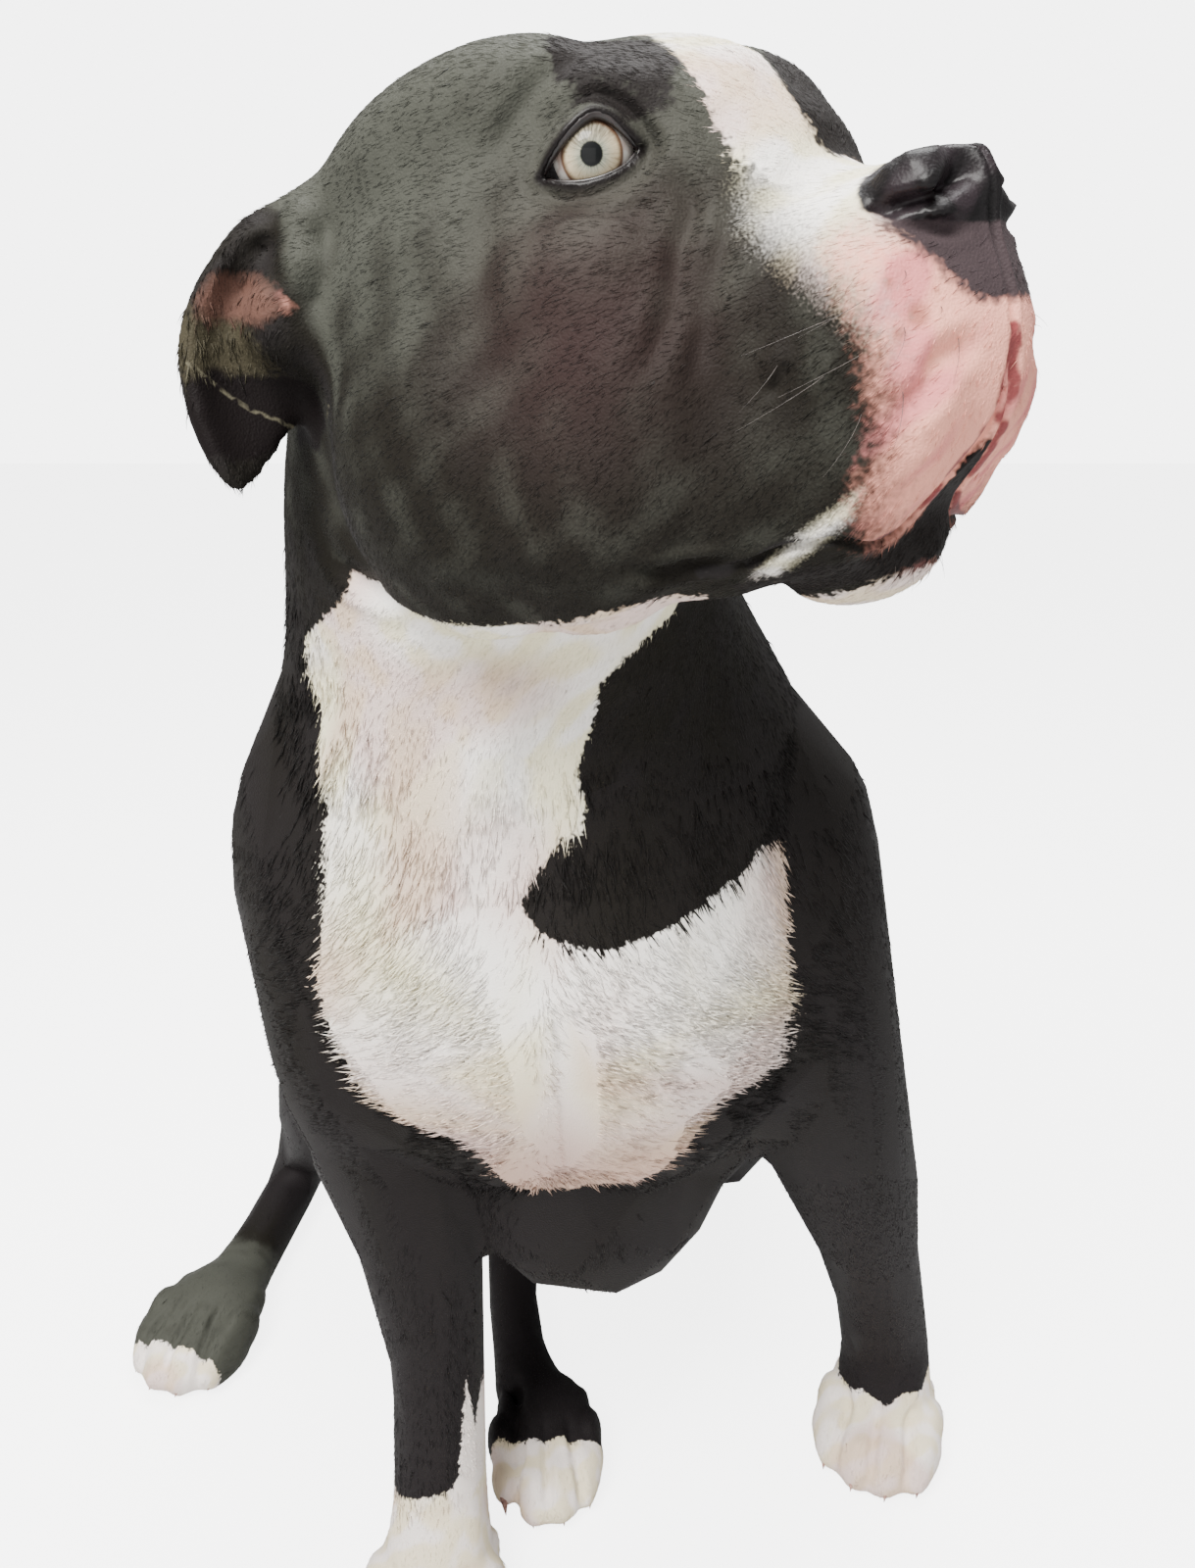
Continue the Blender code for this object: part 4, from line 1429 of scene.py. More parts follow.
@dataclass(frozen=True)
class CoatColours:
    """The colours of coat and bare skin, each as red, green and blue of 255.

    The coat goes from legs through grey to crown as its tone rises, with mauve on the cheek, olive inside
    the ear's fold, cream and white, and dark by the blaze. Its tone also holds painted light: crown is a
    painted sheen on the top of the head, and the greys darken as painted shade low down and on the ear
    flaps. The skin is blush where white hair is thin, with painted shade on the lower breast, pink and lip
    on the flews with gum in their slit, ear in the fold, spot in its freckles, and wet at the lids, whose
    dark band is partly painted shade. Wet is also painted shade in the ear's hollow, nostril_shade is
    painted shade inside the nostrils, and rim is a painted highlight on the lit edge of the folded ear.
    """

    # legs: the darkest grey, deepened by the painted shade low down
    legs: Colour = (31, 28, 29)
    grey: Colour = (26, 24, 20)
    # crown: painted sheen, the lit top of the head
    crown: Colour = (62, 63, 57)
    mauve: Colour = (50, 37, 36)
    olive: Colour = (58, 54, 42)
    cream: Colour = (236, 229, 198)
    white: Colour = (246, 242, 236)
    # blush: pink skin under thin white hair, and painted shade low on the breast
    blush_and_shade: Colour = (196, 152, 140)
    pink: Colour = (234, 162, 144)
    lip: Colour = (210, 128, 126)
    ear: Colour = (86, 62, 54)
    spot: Colour = (136, 84, 66)
    dark: Colour = (29, 26, 25)
    snout: Colour = (60, 51, 53)
    # wet: the dark of wet lips and lids, also painted shade in the ear's hollow
    wet: Colour = (20, 16, 16)
    gum: Colour = (132, 66, 66)
    # rim: painted highlight on the lit edge of the folded ear
    rim: Colour = (98, 94, 78)
    nose: Colour = (20, 18, 19)
    leather: Colour = (36, 30, 33)
    # painted shade inside the nostrils
    nostril_shade: Colour = (18, 10, 12)
    pads: Colour = (52, 44, 42)

    def group(self) -> bpy.types.NodeTree:
        """The node group that gives coat and skin the same markings.

        Returns:
            A group with Color and Wet outputs.
        """
        tree = bpy.data.node_groups.new("coat_colours", "ShaderNodeTree")
        for name, kind in (("Color", "NodeSocketColor"), ("Wet", "NodeSocketFloat")):
            tree.interface.new_socket(name, in_out="OUTPUT", socket_type=kind)
        wires = Wires(tree)
        coarse = wires.mark("cloud")
        fine = wires.noise(420.0, 1.0, 0.6)
        hairs = wires.noise(1300.0, 0.0, 0.6)
        # the tone carries painted sheen and painted shade as well as the coat's own tone
        tone_and_painted_light = wires.math("MULTIPLY_ADD", wires.math("SUBTRACT", coarse, 0.5), 0.22, wires.mark("tone_and_painted_light"))
        tone_and_painted_light = wires.math("MULTIPLY_ADD", wires.math("SUBTRACT", hairs, 0.5), 0.12, tone_and_painted_light)
        grey = wires.mix(wires.ramp(tone_and_painted_light, 0.15, 0.62), tint(*self.legs), tint(*self.grey))
        grey = wires.mix(wires.ramp(tone_and_painted_light, 0.58, 1.0), grey, tint(*self.crown))
        grey = wires.mix(wires.math("MULTIPLY", wires.mark("warm"), 0.75), grey, tint(*self.mauve))
        grey = wires.mix(wires.edge("olive", fine, 3.0, 2.0), grey, tint(*self.olive))
        white = wires.mix(wires.ramp(coarse, 0.3, 0.7), tint(*self.cream), tint(*self.white))
        height = wires.add("ShaderNodeSeparateXYZ")
        wires.put(height.inputs[0], wires.place())
        height = height.outputs[2]
        # the lower breast turns to blush: pink skin under thin hair, and painted shade there
        thin = wires.ramp(height, 0.16, 0.28, 0.2, 0.75)
        thin = wires.math("MULTIPLY", wires.ramp(height, 0.42, 0.31), thin)
        thin = wires.math("MAXIMUM", thin, wires.ramp(wires.mark("stain"), 0.35, 0.80, 0.0, 0.55))
        white = wires.mix(thin, white, tint(*self.blush_and_shade))
        colour = wires.mix(wires.edge("fade", hairs, 3.5, 9.0), grey, white)
        colour = wires.mix(wires.edge("white", fine, 2.4, 0.7), colour, white)
        pink = wires.mix(wires.ramp(coarse, 0.45, 0.95), tint(*self.pink), tint(*self.lip))
        # where painted shade lowers the tone, as on the ear flaps, the pink turns to the darker ear colour
        pink = wires.mix(wires.ramp(wires.mark("tone_and_painted_light"), 0.44, 0.60), tint(*self.ear), pink)
        spots = wires.ramp(wires.math("MULTIPLY_ADD", fine, 1.8, wires.mark("spots")), -0.4, 2.0, 0.62, 0.0)
        pink = wires.mix(spots, pink, tint(*self.spot))
        pinkness = wires.edge("pink", fine, 1.6, 2.4)
        colour = wires.mix(pinkness, colour, pink)
        for name, jitter, spread, soft, paint in (
            ("snout", fine, 1.6, 1.6, self.snout), ("dark", fine, 2.0, 1.0, self.dark),
            # painted shade in the ear's hollow
            ("ear_shade", coarse, 2.0, 1.6, self.wet), ("pads", coarse, 1.0, 3.0, self.pads),
        ):
            colour = wires.mix(wires.edge(name, jitter, spread, soft), colour, tint(*paint))
        # painted highlight on the lit edge of the folded ear
        colour = wires.mix(wires.ramp(wires.mark("rim"), 0.3, 1.0, 0.7, 0.0), colour, tint(*self.rim))
        lips = wires.ramp(wires.math("MULTIPLY_ADD", fine, 1.2, wires.mark("lips")), 1.5, 3.0, 1.0, 0.0)
        # the lids' own dark skin, widened into a band of painted shade round the eye
        lids = wires.ramp(wires.math("MULTIPLY_ADD", fine, 1.2, wires.mark("lids")), 1.4, 3.4, 1.0, 0.0)
        wet = wires.math("MAXIMUM", lips, lids)
        colour = wires.mix(lips, colour, wires.mix(pinkness, tint(*self.wet), tint(*self.gum)))
        colour = wires.mix(lids, colour, tint(*self.wet))
        nose = wires.edge("nose", fine, 0.6, 0.5)
        leather = wires.mix(wires.ramp(coarse, 0.35, 0.7), tint(*self.nose), tint(*self.leather))
        colour = wires.mix(nose, colour, leather)
        # painted shade inside the nostrils
        shaded_pits = wires.ramp(wires.mark("shaded_pits"), 2.0, 4.2, 1.0, 0.0)
        colour = wires.mix(shaded_pits, colour, tint(*self.nostril_shade))
        out = wires.add("NodeGroupOutput")
        wires.put(out.inputs["Color"], colour)
        wires.put(out.inputs["Wet"], wires.math("MAXIMUM", nose, wet))
        return tree


@dataclass(frozen=True)
class SkinFinish:
    """The skin's finish: short flat hair as fine bump, wet lips and nose.

    Attributes:
        rough: its roughness where dry and where wet.
        gloss: the clear coat where it is wet.
        grain: the hair's bump, in patterns a metre.
        strength: how strong the bump is.
    """

    rough: Flat = (0.62, 0.46)
    gloss: float = 0.18
    grain: float = 1500.0
    strength: float = 0.35

    def build(self, colours: bpy.types.NodeTree) -> bpy.types.Material:
        """Makes the material.

        Args:
            colours: the node group of the markings.

        Returns:
            The material.
        """
        made, wires, sockets = new_material("skin")
        group = wires.add("ShaderNodeGroup", node_tree=colours)
        wires.put(sockets["Base Color"], group.outputs["Color"])
        wet = group.outputs["Wet"]
        wires.put(sockets["Roughness"], wires.ramp(wet, 0.0, 1.0, *self.rough))
        wires.put(sockets["Coat Weight"], wires.math("MULTIPLY", wet, self.gloss))
        sockets["Coat Roughness"].default_value = 0.30
        sockets["Sheen Weight"].default_value = 0.02
        sockets["Sheen Roughness"].default_value = 0.4
        sockets["Specular IOR Level"].default_value = 0.07
        wires.bump(sockets["Normal"], wires.noise(self.grain, 0.0), self.strength, 0.0006)
        return made


@dataclass(frozen=True)
class HairFinish:
    """The tufts' finish: the same markings, each tuft a little lighter or darker.

    Attributes:
        spread: how far the lightest tuft is from the darkest.
    """

    spread: float = 0.22

    def build(self, colours: bpy.types.NodeTree) -> bpy.types.Material:
        """Makes the material.

        Args:
            colours: the node group of the markings.

        Returns:
            The material.
        """
        made, wires, sockets = new_material("coat")
        group = wires.add("ShaderNodeGroup", node_tree=colours)
        light = wires.math("MULTIPLY_ADD", wires.mark("shade"), self.spread, 1.0 - self.spread * 0.42)
        colour = wires.mix(1.0, group.outputs["Color"], light, "MULTIPLY")
        wires.put(sockets["Base Color"], colour)
        sockets["Roughness"].default_value = 0.56
        sockets["Specular IOR Level"].default_value = 0.06
        sockets["Sheen Weight"].default_value = 0.02
        return made


@dataclass(frozen=True)
class Growth:
    """A kind of tuft.

    Attributes:
        count: how many there are on the whole dog.
        length: their mean length in metres.
        width: their width at the root.
        lift: how steeply they stand, in radians.
        bent: whether they have a middle and bend towards the skin.
    """

    count: int
    length: float
    width: float
    lift: float
    bent: bool


@dataclass
class Roots:
    """The roots of the tufts of one kind, one row each.

    Attributes:
        places: where they stand, in metres.
        up: the skin's outward directions there.
        along: the way the hair lies there.
        unwrap: their places on the skin's unwrap.
        marks: the markings there.
    """

    places: np.ndarray
    up: np.ndarray
    along: np.ndarray
    unwrap: np.ndarray
    marks: dict[str, np.ndarray]


@dataclass
class Coat:
    """The hair: joined tufts over the skin, in pieces for each part of the body.

    Attributes:
        skin: the skin's object.
        markings: where the colours lie.
        flat: the short hair that lies close.
        loose: the longer tufts where the coat breaks the form.
        largest: the most triangles of a piece of coat.
        pieces: the pieces grown so far.
    """

    skin: bpy.types.Object
    markings: Markings
    flat: Growth = Growth(190000, 0.0060, 0.00062, 0.06, False)
    loose: Growth = Growth(8000, 0.0095, 0.0008, 0.18, True)
    largest: int = 190000
    pieces: list[bpy.types.Object] = field(default_factory=list)

    def unwrap(self) -> None:
        """Gives the skin an unwrap of its own shape."""
        select(self.skin)
        bpy.ops.object.mode_set(mode="EDIT")
        bpy.ops.mesh.select_all(action="SELECT")
        bpy.ops.uv.smart_project(angle_limit=math.radians(66), island_margin=0.002)
        bpy.ops.object.mode_set(mode="OBJECT")

    def build(self, finish: bpy.types.Material) -> list[bpy.types.Object]:
        """Grows all the hair.

        Args:
            finish: the tufts' material.

        Returns:
            The pieces of coat.
        """
        self.unwrap()
        mesh = self.skin.data
        corners, uv = self.triangles()
        points, normals = mesh_points(mesh), mesh_normals(mesh)
        marks = self.markings.marks(points)
        lie = self.markings.comb(points, normals)
        chance = np.random.default_rng(7)
        for growth in (self.flat, self.loose):
            share = self.share(points, marks, growth.bent)[corners].mean(axis=1)
            a, b, c = (points[corners[:, i]] for i in range(3))
            area = np.linalg.norm(np.cross(b - a, c - a), axis=1) * share
            number = growth.count // 1
            picked = np.sort(chance.choice(len(corners), number, p=area / area.sum()))
            u, v = chance.random(number), chance.random(number)
            over = u + v > 1
            u, v = np.where(over, 1 - u, u), np.where(over, 1 - v, v)
            weights = np.stack([1 - u - v, u, v], axis=1)
            chosen = corners[picked]

            def blend(values: np.ndarray) -> np.ndarray:
                """The values at the roots, from those at the corners round each."""
                return np.einsum("nk,nk...->n...", weights, values[chosen])

            unwrap = np.einsum("nk,nkd->nd", weights, uv[picked])
            kept = {name: blend(values) for name, values in marks.items()}
            self.grow(growth, Roots(blend(points), blend(normals), blend(lie), unwrap, kept), finish, chance)
        return self.pieces

    def triangles(self) -> tuple[np.ndarray, np.ndarray]:
        """The skin's triangles, as their corners and those corners' places on the unwrap.

        Returns:
            Three vertices and three places a triangle.
        """
        mesh = self.skin.data
        mesh.calc_loop_triangles()
        corners = np.empty(len(mesh.loop_triangles) * 3, dtype=np.int32)
        mesh.loop_triangles.foreach_get("vertices", corners)
        loops = np.empty(len(corners), dtype=np.int32)
        mesh.loop_triangles.foreach_get("loops", loops)
        uv = np.empty(len(mesh.loops) * 2, dtype=np.float32)
        mesh.uv_layers.active.data.foreach_get("uv", uv)
        return corners.reshape(-1, 3), uv.reshape(-1, 2)[loops].reshape(-1, 3, 2)

    def share(self, points: np.ndarray, marks: dict[str, np.ndarray], loose: bool) -> np.ndarray:
        """How densely hair grows at each place.

        Args:
            points: places on the skin.
            marks: the markings there.
            loose: whether it is for the longer tufts.

        Returns:
            A density, 0 where the skin is bare.
        """
        bare = (marks["nose"] > -1.0) | (marks["lips"] < 2.6) | (marks["lids"] < 2.4) | (marks["pads"] > -8)
        bare |= marks["ear_shade"] > 1.0
        local = self.markings.head.inward(points)
        away = np.linalg.norm(local, axis=1)
        face = 1 - smooth_step(away, 0.115, 0.16)
        front = smooth_step(-points[:, 1], 0.02, 0.12)
        dense = 1.0 + 2.6 * face + 0.9 * front
        dense = np.where(marks["pink"] > 1, dense * 0.25, dense)
        if loose:
            fringe = np.exp(-((marks["white"] / 7.0) ** 2)) * (points[:, 1] < -0.19) * (away > 0.16)
            whorl = np.exp(-(((points[:, 2] - 0.425) / 0.03) ** 2)) * (points[:, 1] < -0.2)
            whorl *= np.abs(points[:, 0] - 0.03) < 0.11
            seat = smooth_step(points[:, 1], 0.20, 0.30) * smooth_step(points[:, 2], 0.02, 0.06)
            seat *= points[:, 2] < 0.16
            ears = np.exp(-(((marks["olive"] - 2) / 5.0) ** 2)) * (local[:, 0] < -0.06)
            dense = fringe * 2.2 + whorl * 2.4 + seat * 0.3 + ears * 0.8 + 0.012
        return np.where(bare, 0.0, dense)

    def blades(self, growth: Growth, stand: Roots,
               chance: np.random.Generator) -> tuple[np.ndarray, np.ndarray, np.ndarray]:
        """The shapes of the tufts of one kind.

        Args:
            growth: the kind of tuft.
            stand: their roots.
            chance: the source of small differences.

        Returns:
            Each tuft's vertices, their steps from its root on the unwrap, and the faces of one tuft.
        """
        roots, up, along = stand.places, stand.up, stand.along
        number = len(roots)
        up = up / np.linalg.norm(up, axis=1)[:, None]
        side = np.cross(up, along)
        side /= np.maximum(np.linalg.norm(side, axis=1), 1e-6)[:, None]
        swing = chance.normal(0.0, 0.17, number)[:, None]
        along = along * np.cos(swing) + side * np.sin(swing)
        side = np.cross(up, along)
        away = np.linalg.norm(self.markings.head.inward(roots), axis=1)
        small = 0.50 + 0.50 * smooth_step(away, 0.10, 0.19)
        small *= 0.55 + 0.45 * smooth_step(roots[:, 2], 0.06, 0.26)
        size = (growth.length * small * chance.uniform(0.7, 1.25, number))[:, None]
        wide = (growth.width * (0.35 + 0.65 * small) * chance.uniform(0.75, 1.25, number))[:, None] / 2
        lift = (growth.lift * chance.uniform(0.6, 1.5, number))[:, None]
        base = roots - up * 0.00008
        ridge = roots + along * size * 0.35 + up * (wide * 0.25 + 0.00006)
        rows = [base - side * wide, base + side * wide, ridge]
        steps = [(-0.0015, 0.0), (0.0015, 0.0), (0.0, 0.0008)]
        if growth.bent:
            middle = roots + along * size * 0.5 + up * size * np.sin(lift) * 0.42
            rows += [middle - side * wide * 0.8, middle + side * wide * 0.8, middle + up * wide * 0.5]
            steps += [(-0.0012, 0.0008), (0.0012, 0.0008), (0.0, 0.0012)]
            rows.append(middle + along * size * 0.5 + up * size * np.sin(lift) * 0.10)
            faces = [(0, 2, 1), (0, 1, 4), (0, 4, 3), (1, 2, 5), (1, 5, 4), (2, 0, 3), (2, 3, 5), (3, 4, 6),
                     (4, 5, 6), (5, 3, 6)]
        else:
            rows.append(roots + along * size * np.cos(lift) + up * (size * np.sin(lift) * 0.5 + 0.00005))
            faces = [(0, 2, 1), (0, 1, 3), (1, 2, 3), (2, 0, 3)]
        steps.append((0.0, 0.0015))
        return np.stack(rows, axis=1), np.array(steps), np.array(faces)

    def weave(self, points: np.ndarray, faces: np.ndarray, spots: np.ndarray) -> bpy.types.Mesh:
        """Joins tufts of one shape into a mesh.

        Args:
            points: each tuft's vertices.
            faces: the faces of one tuft.
            spots: each vertex's place on the unwrap.

        Returns:
            The mesh.
        """
        amount, tall = points.shape[:2]
        mesh = bpy.data.meshes.new("coat")
        mesh.vertices.add(amount * tall)
        mesh.vertices.foreach_set("co", points.astype(np.float32).ravel())
        corners = (faces[None] + (np.arange(amount) * tall)[:, None, None]).reshape(-1)
        mesh.loops.add(len(corners))
        mesh.loops.foreach_set("vertex_index", corners.astype(np.int32))
        mesh.polygons.add(len(corners) // 3)
        mesh.polygons.foreach_set("loop_start", np.arange(0, len(corners), 3, dtype=np.int32))
        mesh.polygons.foreach_set("use_smooth", np.ones(len(corners) // 3, dtype=bool))
        mesh.update(calc_edges=True)
        layer = mesh.uv_layers.new(name="OFBake")
        layer.data.foreach_set("uv", spots.reshape(-1, 2)[corners].astype(np.float32).ravel())
        return mesh

    def grow(self, growth: Growth, stand: Roots, finish: bpy.types.Material,
             chance: np.random.Generator) -> None:
        """Makes the tufts of one kind, as pieces of joined tufts.

        Args:
            growth: the kind of tuft.
            stand: their roots.
            finish: the material.
            chance: the source of small differences.
        """
        points, steps, faces = self.blades(growth, stand, chance)
        spots = stand.unwrap[:, None, :] + steps[None]
        marks = stand.marks | {"shade": chance.random(len(points))}
        most = self.largest // len(faces)
        order = np.argsort(stand.places[:, 1] + stand.places[:, 2] * 0.2)
        for start in range(0, len(order), most):
            part = order[start:start + most]
            mesh = self.weave(points[part], faces, spots[part])
            for name, values in marks.items():
                store(mesh, name, np.repeat(values[part], points.shape[1]))
            mesh.materials.append(finish)
            piece = bpy.data.objects.new(f"coat_{len(self.pieces) + 1:02d}", mesh)
            bpy.context.scene.collection.objects.link(piece)
            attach(piece, BODY)
            self.pieces.append(piece)


@dataclass(frozen=True)
class EyeFinish:
    """The eye's finish: pale iris with fibres, dark rim and pupil, off-white round it, and a painted shadow
    of the upper lid over the iris's top.

    Attributes:
        iris: the iris's radius in millimetres.
        pupil: the pupil's.
    """

    iris: float = 8.1
    pupil: float = 3.0

    def build(self) -> bpy.types.Material:
        """Makes the material, which reads each vertex's place in the eye in millimetres.

        Returns:
            The material.
        """
        made, wires, sockets = new_material("eye")
        local = wires.add("ShaderNodeAttribute", attribute_name="seat").outputs["Vector"]
        parts = wires.add("ShaderNodeSeparateXYZ")
        wires.put(parts.inputs[0], local)
        ahead, above = parts.outputs[0], parts.outputs[1]
        square = wires.math("MULTIPLY", above, above)
        radius = wires.math("SQRT", wires.math("MULTIPLY_ADD", ahead, ahead, square))
        angle = wires.math("ARCTAN2", above, ahead)
        ring = wires.add("ShaderNodeCombineXYZ")
        wires.put(ring.inputs[0], wires.math("MULTIPLY", wires.math("COSINE", angle), 2.4))
        wires.put(ring.inputs[1], wires.math("MULTIPLY", wires.math("SINE", angle), 2.4))
        wires.put(ring.inputs[2], wires.math("MULTIPLY", radius, 0.07))
        fibres = wires.noise(5.5, 4.0, 0.65, ring.outputs[0])
        outer = wires.ramp(radius, self.pupil, self.iris * 0.86)
        iris = wires.mix(outer, tint(118, 126, 114), tint(198, 180, 148))
        # painted shadow of the upper lid: the iris darkens towards its top
        iris = wires.mix(wires.ramp(above, 0.0, 5.6, 0.0, 0.95), iris, tint(62, 62, 56))
        iris = wires.mix(wires.ramp(fibres, 0.35, 0.72, 0.0, 0.40), iris, tint(212, 200, 172))
        iris = wires.mix(wires.ramp(fibres, 0.5, 0.28, 0.0, 0.45), iris, tint(92, 78, 58))
        border = wires.ramp(radius, self.iris * 0.80, self.iris * 0.98, 0.0, 0.95)
        iris = wires.mix(border, iris, tint(84, 54, 38))
        veins = wires.ramp(wires.noise(260.0, 3.0), 0.4, 0.7)
        white = wires.mix(veins, tint(186, 182, 176), tint(160, 140, 130))
        colour = wires.mix(wires.ramp(radius, self.iris * 0.97, self.iris * 1.05), iris, white)
        wobble = wires.math("MULTIPLY_ADD", fibres, 0.35, radius)
        pupil = wires.ramp(wobble, self.pupil - 0.15, self.pupil + 0.45, 1.0, 0.0)
        wires.put(sockets["Base Color"], wires.mix(pupil, colour, tint(9, 11, 12)))
        sockets["Roughness"].default_value = 0.40
        sockets["Specular IOR Level"].default_value = 0.12
        sockets["Coat Weight"].default_value = 0.25
        sockets["Coat Roughness"].default_value = 0.02
        return made


@dataclass
class Eyes:
    """Both eyeballs and the dark wet rims of the lids.

    Attributes:
        head: the head's frame.
        form: the eyes' sizes.
        gaze: where each eye looks in the head's frame, right then left.
        bulge: how far the clear front stands out, in millimetres.
        rims: the radius of the lids' wet rims in metres.
    """

    head: HeadFrame
    form: EyeForm
    gaze: tuple[Spot, Spot] = ((0.585, -0.79, -0.24), (0.80, 0.60, -0.12))
    bulge: float = 0.9
    rims: float = 0.001

    def ball(self, side: Side, finish: bpy.types.Material) -> bpy.types.Object:
        """An eyeball with its clear front standing proud.

        Args:
            side: which eye.
            finish: its material.

        Returns:
            The eyeball.
        """
        middle = self.head.eye(side)
        look = np.array(self.gaze[0 if side is Side.RIGHT else 1])
        look = (look / np.linalg.norm(look)) @ self.head.axes
        ahead = np.cross(self.head.axes[2], look)
        ahead /= np.linalg.norm(ahead)
        axes = np.array([ahead, np.cross(look, ahead), look])
        deselect()
        radius = self.form.ball / 1000
        bpy.ops.mesh.primitive_uv_sphere_add(segments=72, ring_count=48, radius=radius, location=(0, 0, 0))
        piece = bpy.context.object
        piece.name = f"eyeball_{side.name.lower()}"
        bpy.ops.object.mode_set(mode="EDIT")
        bpy.ops.mesh.select_all(action="SELECT")
        bpy.ops.mesh.remove_doubles(threshold=0.000001)
        bpy.ops.object.mode_set(mode="OBJECT")
        local = mesh_points(piece.data) * 1000
        across = np.linalg.norm(local[:, :2], axis=1)
        front = local[:, 2] > 0
        local[:, 2] += np.where(front, self.bulge * (1 - smooth_step(across, 4.0, 9.2)), 0.0)
        set_points(piece.data, local / 1000 @ axes + middle)
        store(piece.data, "seat", local)
        settle(piece, finish)
        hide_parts("eye_left" if side is Side.LEFT else "eye_right")
        return piece

    def rim(self, side: Side, finish: bpy.types.Material) -> bpy.types.Object:
        """The wet rim of a pair of lids.

        Args:
            side: which eye.
            finish: its material.

        Returns:
            The rim.
        """
        middle = self.head.eye(side)
        axes = self.form.directions(self.head, side)
        top = len(curve_points(np.array(self.form.upper), 5))
        places, radii = [], []
        for index, (ahead, above) in enumerate(self.form.edge()[:-1]):
            out = math.sqrt(max((self.form.ball + 0.45) ** 2 - (ahead ** 2 + above ** 2) * 0.68, 14.0))
            places.append(np.array((ahead, above, out)) / 1000 @ axes + middle)
            upper = math.sin(math.pi * min(index / (top - 1), 1.0))
            # thicker along the upper lid, where the dark rim is partly painted shade under the lid
            radii.append(0.6 + 0.85 * upper)
        return settle(tube(f"lid_rim_{side.name.lower()}", places, radii, self.rims, closed=True), finish)

    def build(self, finish: bpy.types.Material, wet: bpy.types.Material) -> list[bpy.types.Object]:
        """Makes both eyes.

        Args:
            finish: the eyeballs' material.
            wet: the rims' material.

        Returns:
            The pieces.
        """
        return [made for side in Side for made in (self.ball(side, finish), self.rim(side, wet))]


@dataclass(frozen=True)
class PlainFinish:
    """A finish of one colour broken up by a fine pattern.

    Attributes:
        name: its name.
        colour: its main colour.
        second: the colour it turns to in places.
        rough: its roughness.
        scale: the pattern's size, in patterns a metre.
        gloss: its clear coat.
    """

    name: str
    colour: tuple[int, int, int]
    second: tuple[int, int, int]
    rough: float
    scale: float
    gloss: float = 0.0

    def build(self) -> bpy.types.Material:
        """Makes the material.

        Returns:
            The material.
        """
        made, wires, sockets = new_material(self.name)
        grain = wires.noise(self.scale, 4.0, 0.6)
        colour = wires.mix(wires.ramp(grain, 0.35, 0.68), tint(*self.colour), tint(*self.second))
        wires.put(sockets["Base Color"], colour)
        rough = wires.ramp(grain, 0.2, 0.8, self.rough * 0.85, min(1.0, self.rough * 1.15))
        wires.put(sockets["Roughness"], rough)
        sockets["Coat Weight"].default_value = self.gloss
        sockets["Coat Roughness"].default_value = 0.12
        wires.bump(sockets["Normal"], grain, 0.2, 0.0003)
        return made


@dataclass
class Claws:
    """Four curved claws on each paw, as one joined mesh.

    Attributes:
        length: a claw's length in metres.
        thick: its radius at the root.
    """

    length: float = 0.0105
    thick: float = 0.0030

    def build(self, finish: bpy.types.Material) -> bpy.types.Object:
        """Makes the claws.

        Args:
            finish: their material.

        Returns:
            The joined claws.
        """
        made = []
        for paw in PAWS.values():
            for across, reach in paw.toe_lines():
                lean = Matrix.Rotation(math.radians(-across / paw.width * 22.0), 3, "Z")
                places, radii = [], []
                for index in range(6):
                    share = index / 5
                    ahead = -0.0030 + self.length * share
                    height = paw.height * 0.33 - self.length * 0.62 * share ** 1.7
                    turned = lean @ Vector((0.0, -ahead, 0.0))
                    tip = reach + paw.width * 0.165 - turned.y - 0.001
                    places.append(paw.spot(across * 1.05 + turned.x, tip, height))
                    radii.append((1.0 - share ** 1.6) * 0.95 + 0.05)
                made.append(tube("claw", places, radii, self.thick, capped=True))
        piece = settle(join("claws", made), finish)
        return piece


@dataclass
class Whiskers:
    """Fine stiff hairs on the muzzle and chin, as one joined mesh.

    Attributes:
        head: the head's frame.
        skin: the skin's object.
        thick: their radius at the root in metres.
        rows: each one's root in the head's frame and its length, in millimetres.
    """

    head: HeadFrame
    skin: bpy.types.Object
    thick: float = 0.00011
    rows: tuple[tuple[float, float, float, float], ...] = (
        (104, -28, -24, 26), (98, -33, -28, 30), (91, -37, -30, 34), (103, -31, -36, 28), (95, -36, -40, 34),
        (87, -39, -42, 36), (100, -32, -48, 24), (92, -37, -52, 30), (112, -21, -40, 18), (77, -45, -36, 24),
        (86, -10, -97, 12), (84, -16, -96, 12), (110, -24, -34, 18),
    )

    def build(self, finish: bpy.types.Material) -> bpy.types.Object:
        """Makes the whiskers.

        Args:
            finish: their material.

        Returns:
            The joined whiskers.
        """
        tree = BVHTree.FromObject(self.skin, bpy.context.evaluated_depsgraph_get())
        forward, _, up = (Vector(row) for row in self.head.axes)
        made = []
        for place in self.rows:
            for side in (1, -1):
                spot = self.head.outward(np.array((place[0], place[1] * side, place[2])) / 1000)
                root, normal, _, _ = tree.find_nearest(Vector(spot))
                sweep = (normal * 0.9 - forward * 0.45 + up * (0.25 if place[2] > 0 else -0.28)).normalized()
                places, radii = [], []
                for index in range(6):
                    share = index / 5
                    reach = place[3] * 0.7 / 1000 * share
                    places.append(root - normal * 0.001 + sweep * reach - forward * reach * share * 0.30)
                    radii.append(1.0 - 0.8 * share)
                made.append(tube("whisker", places, radii, self.thick, 0))
        return settle(join("whiskers", made), finish)


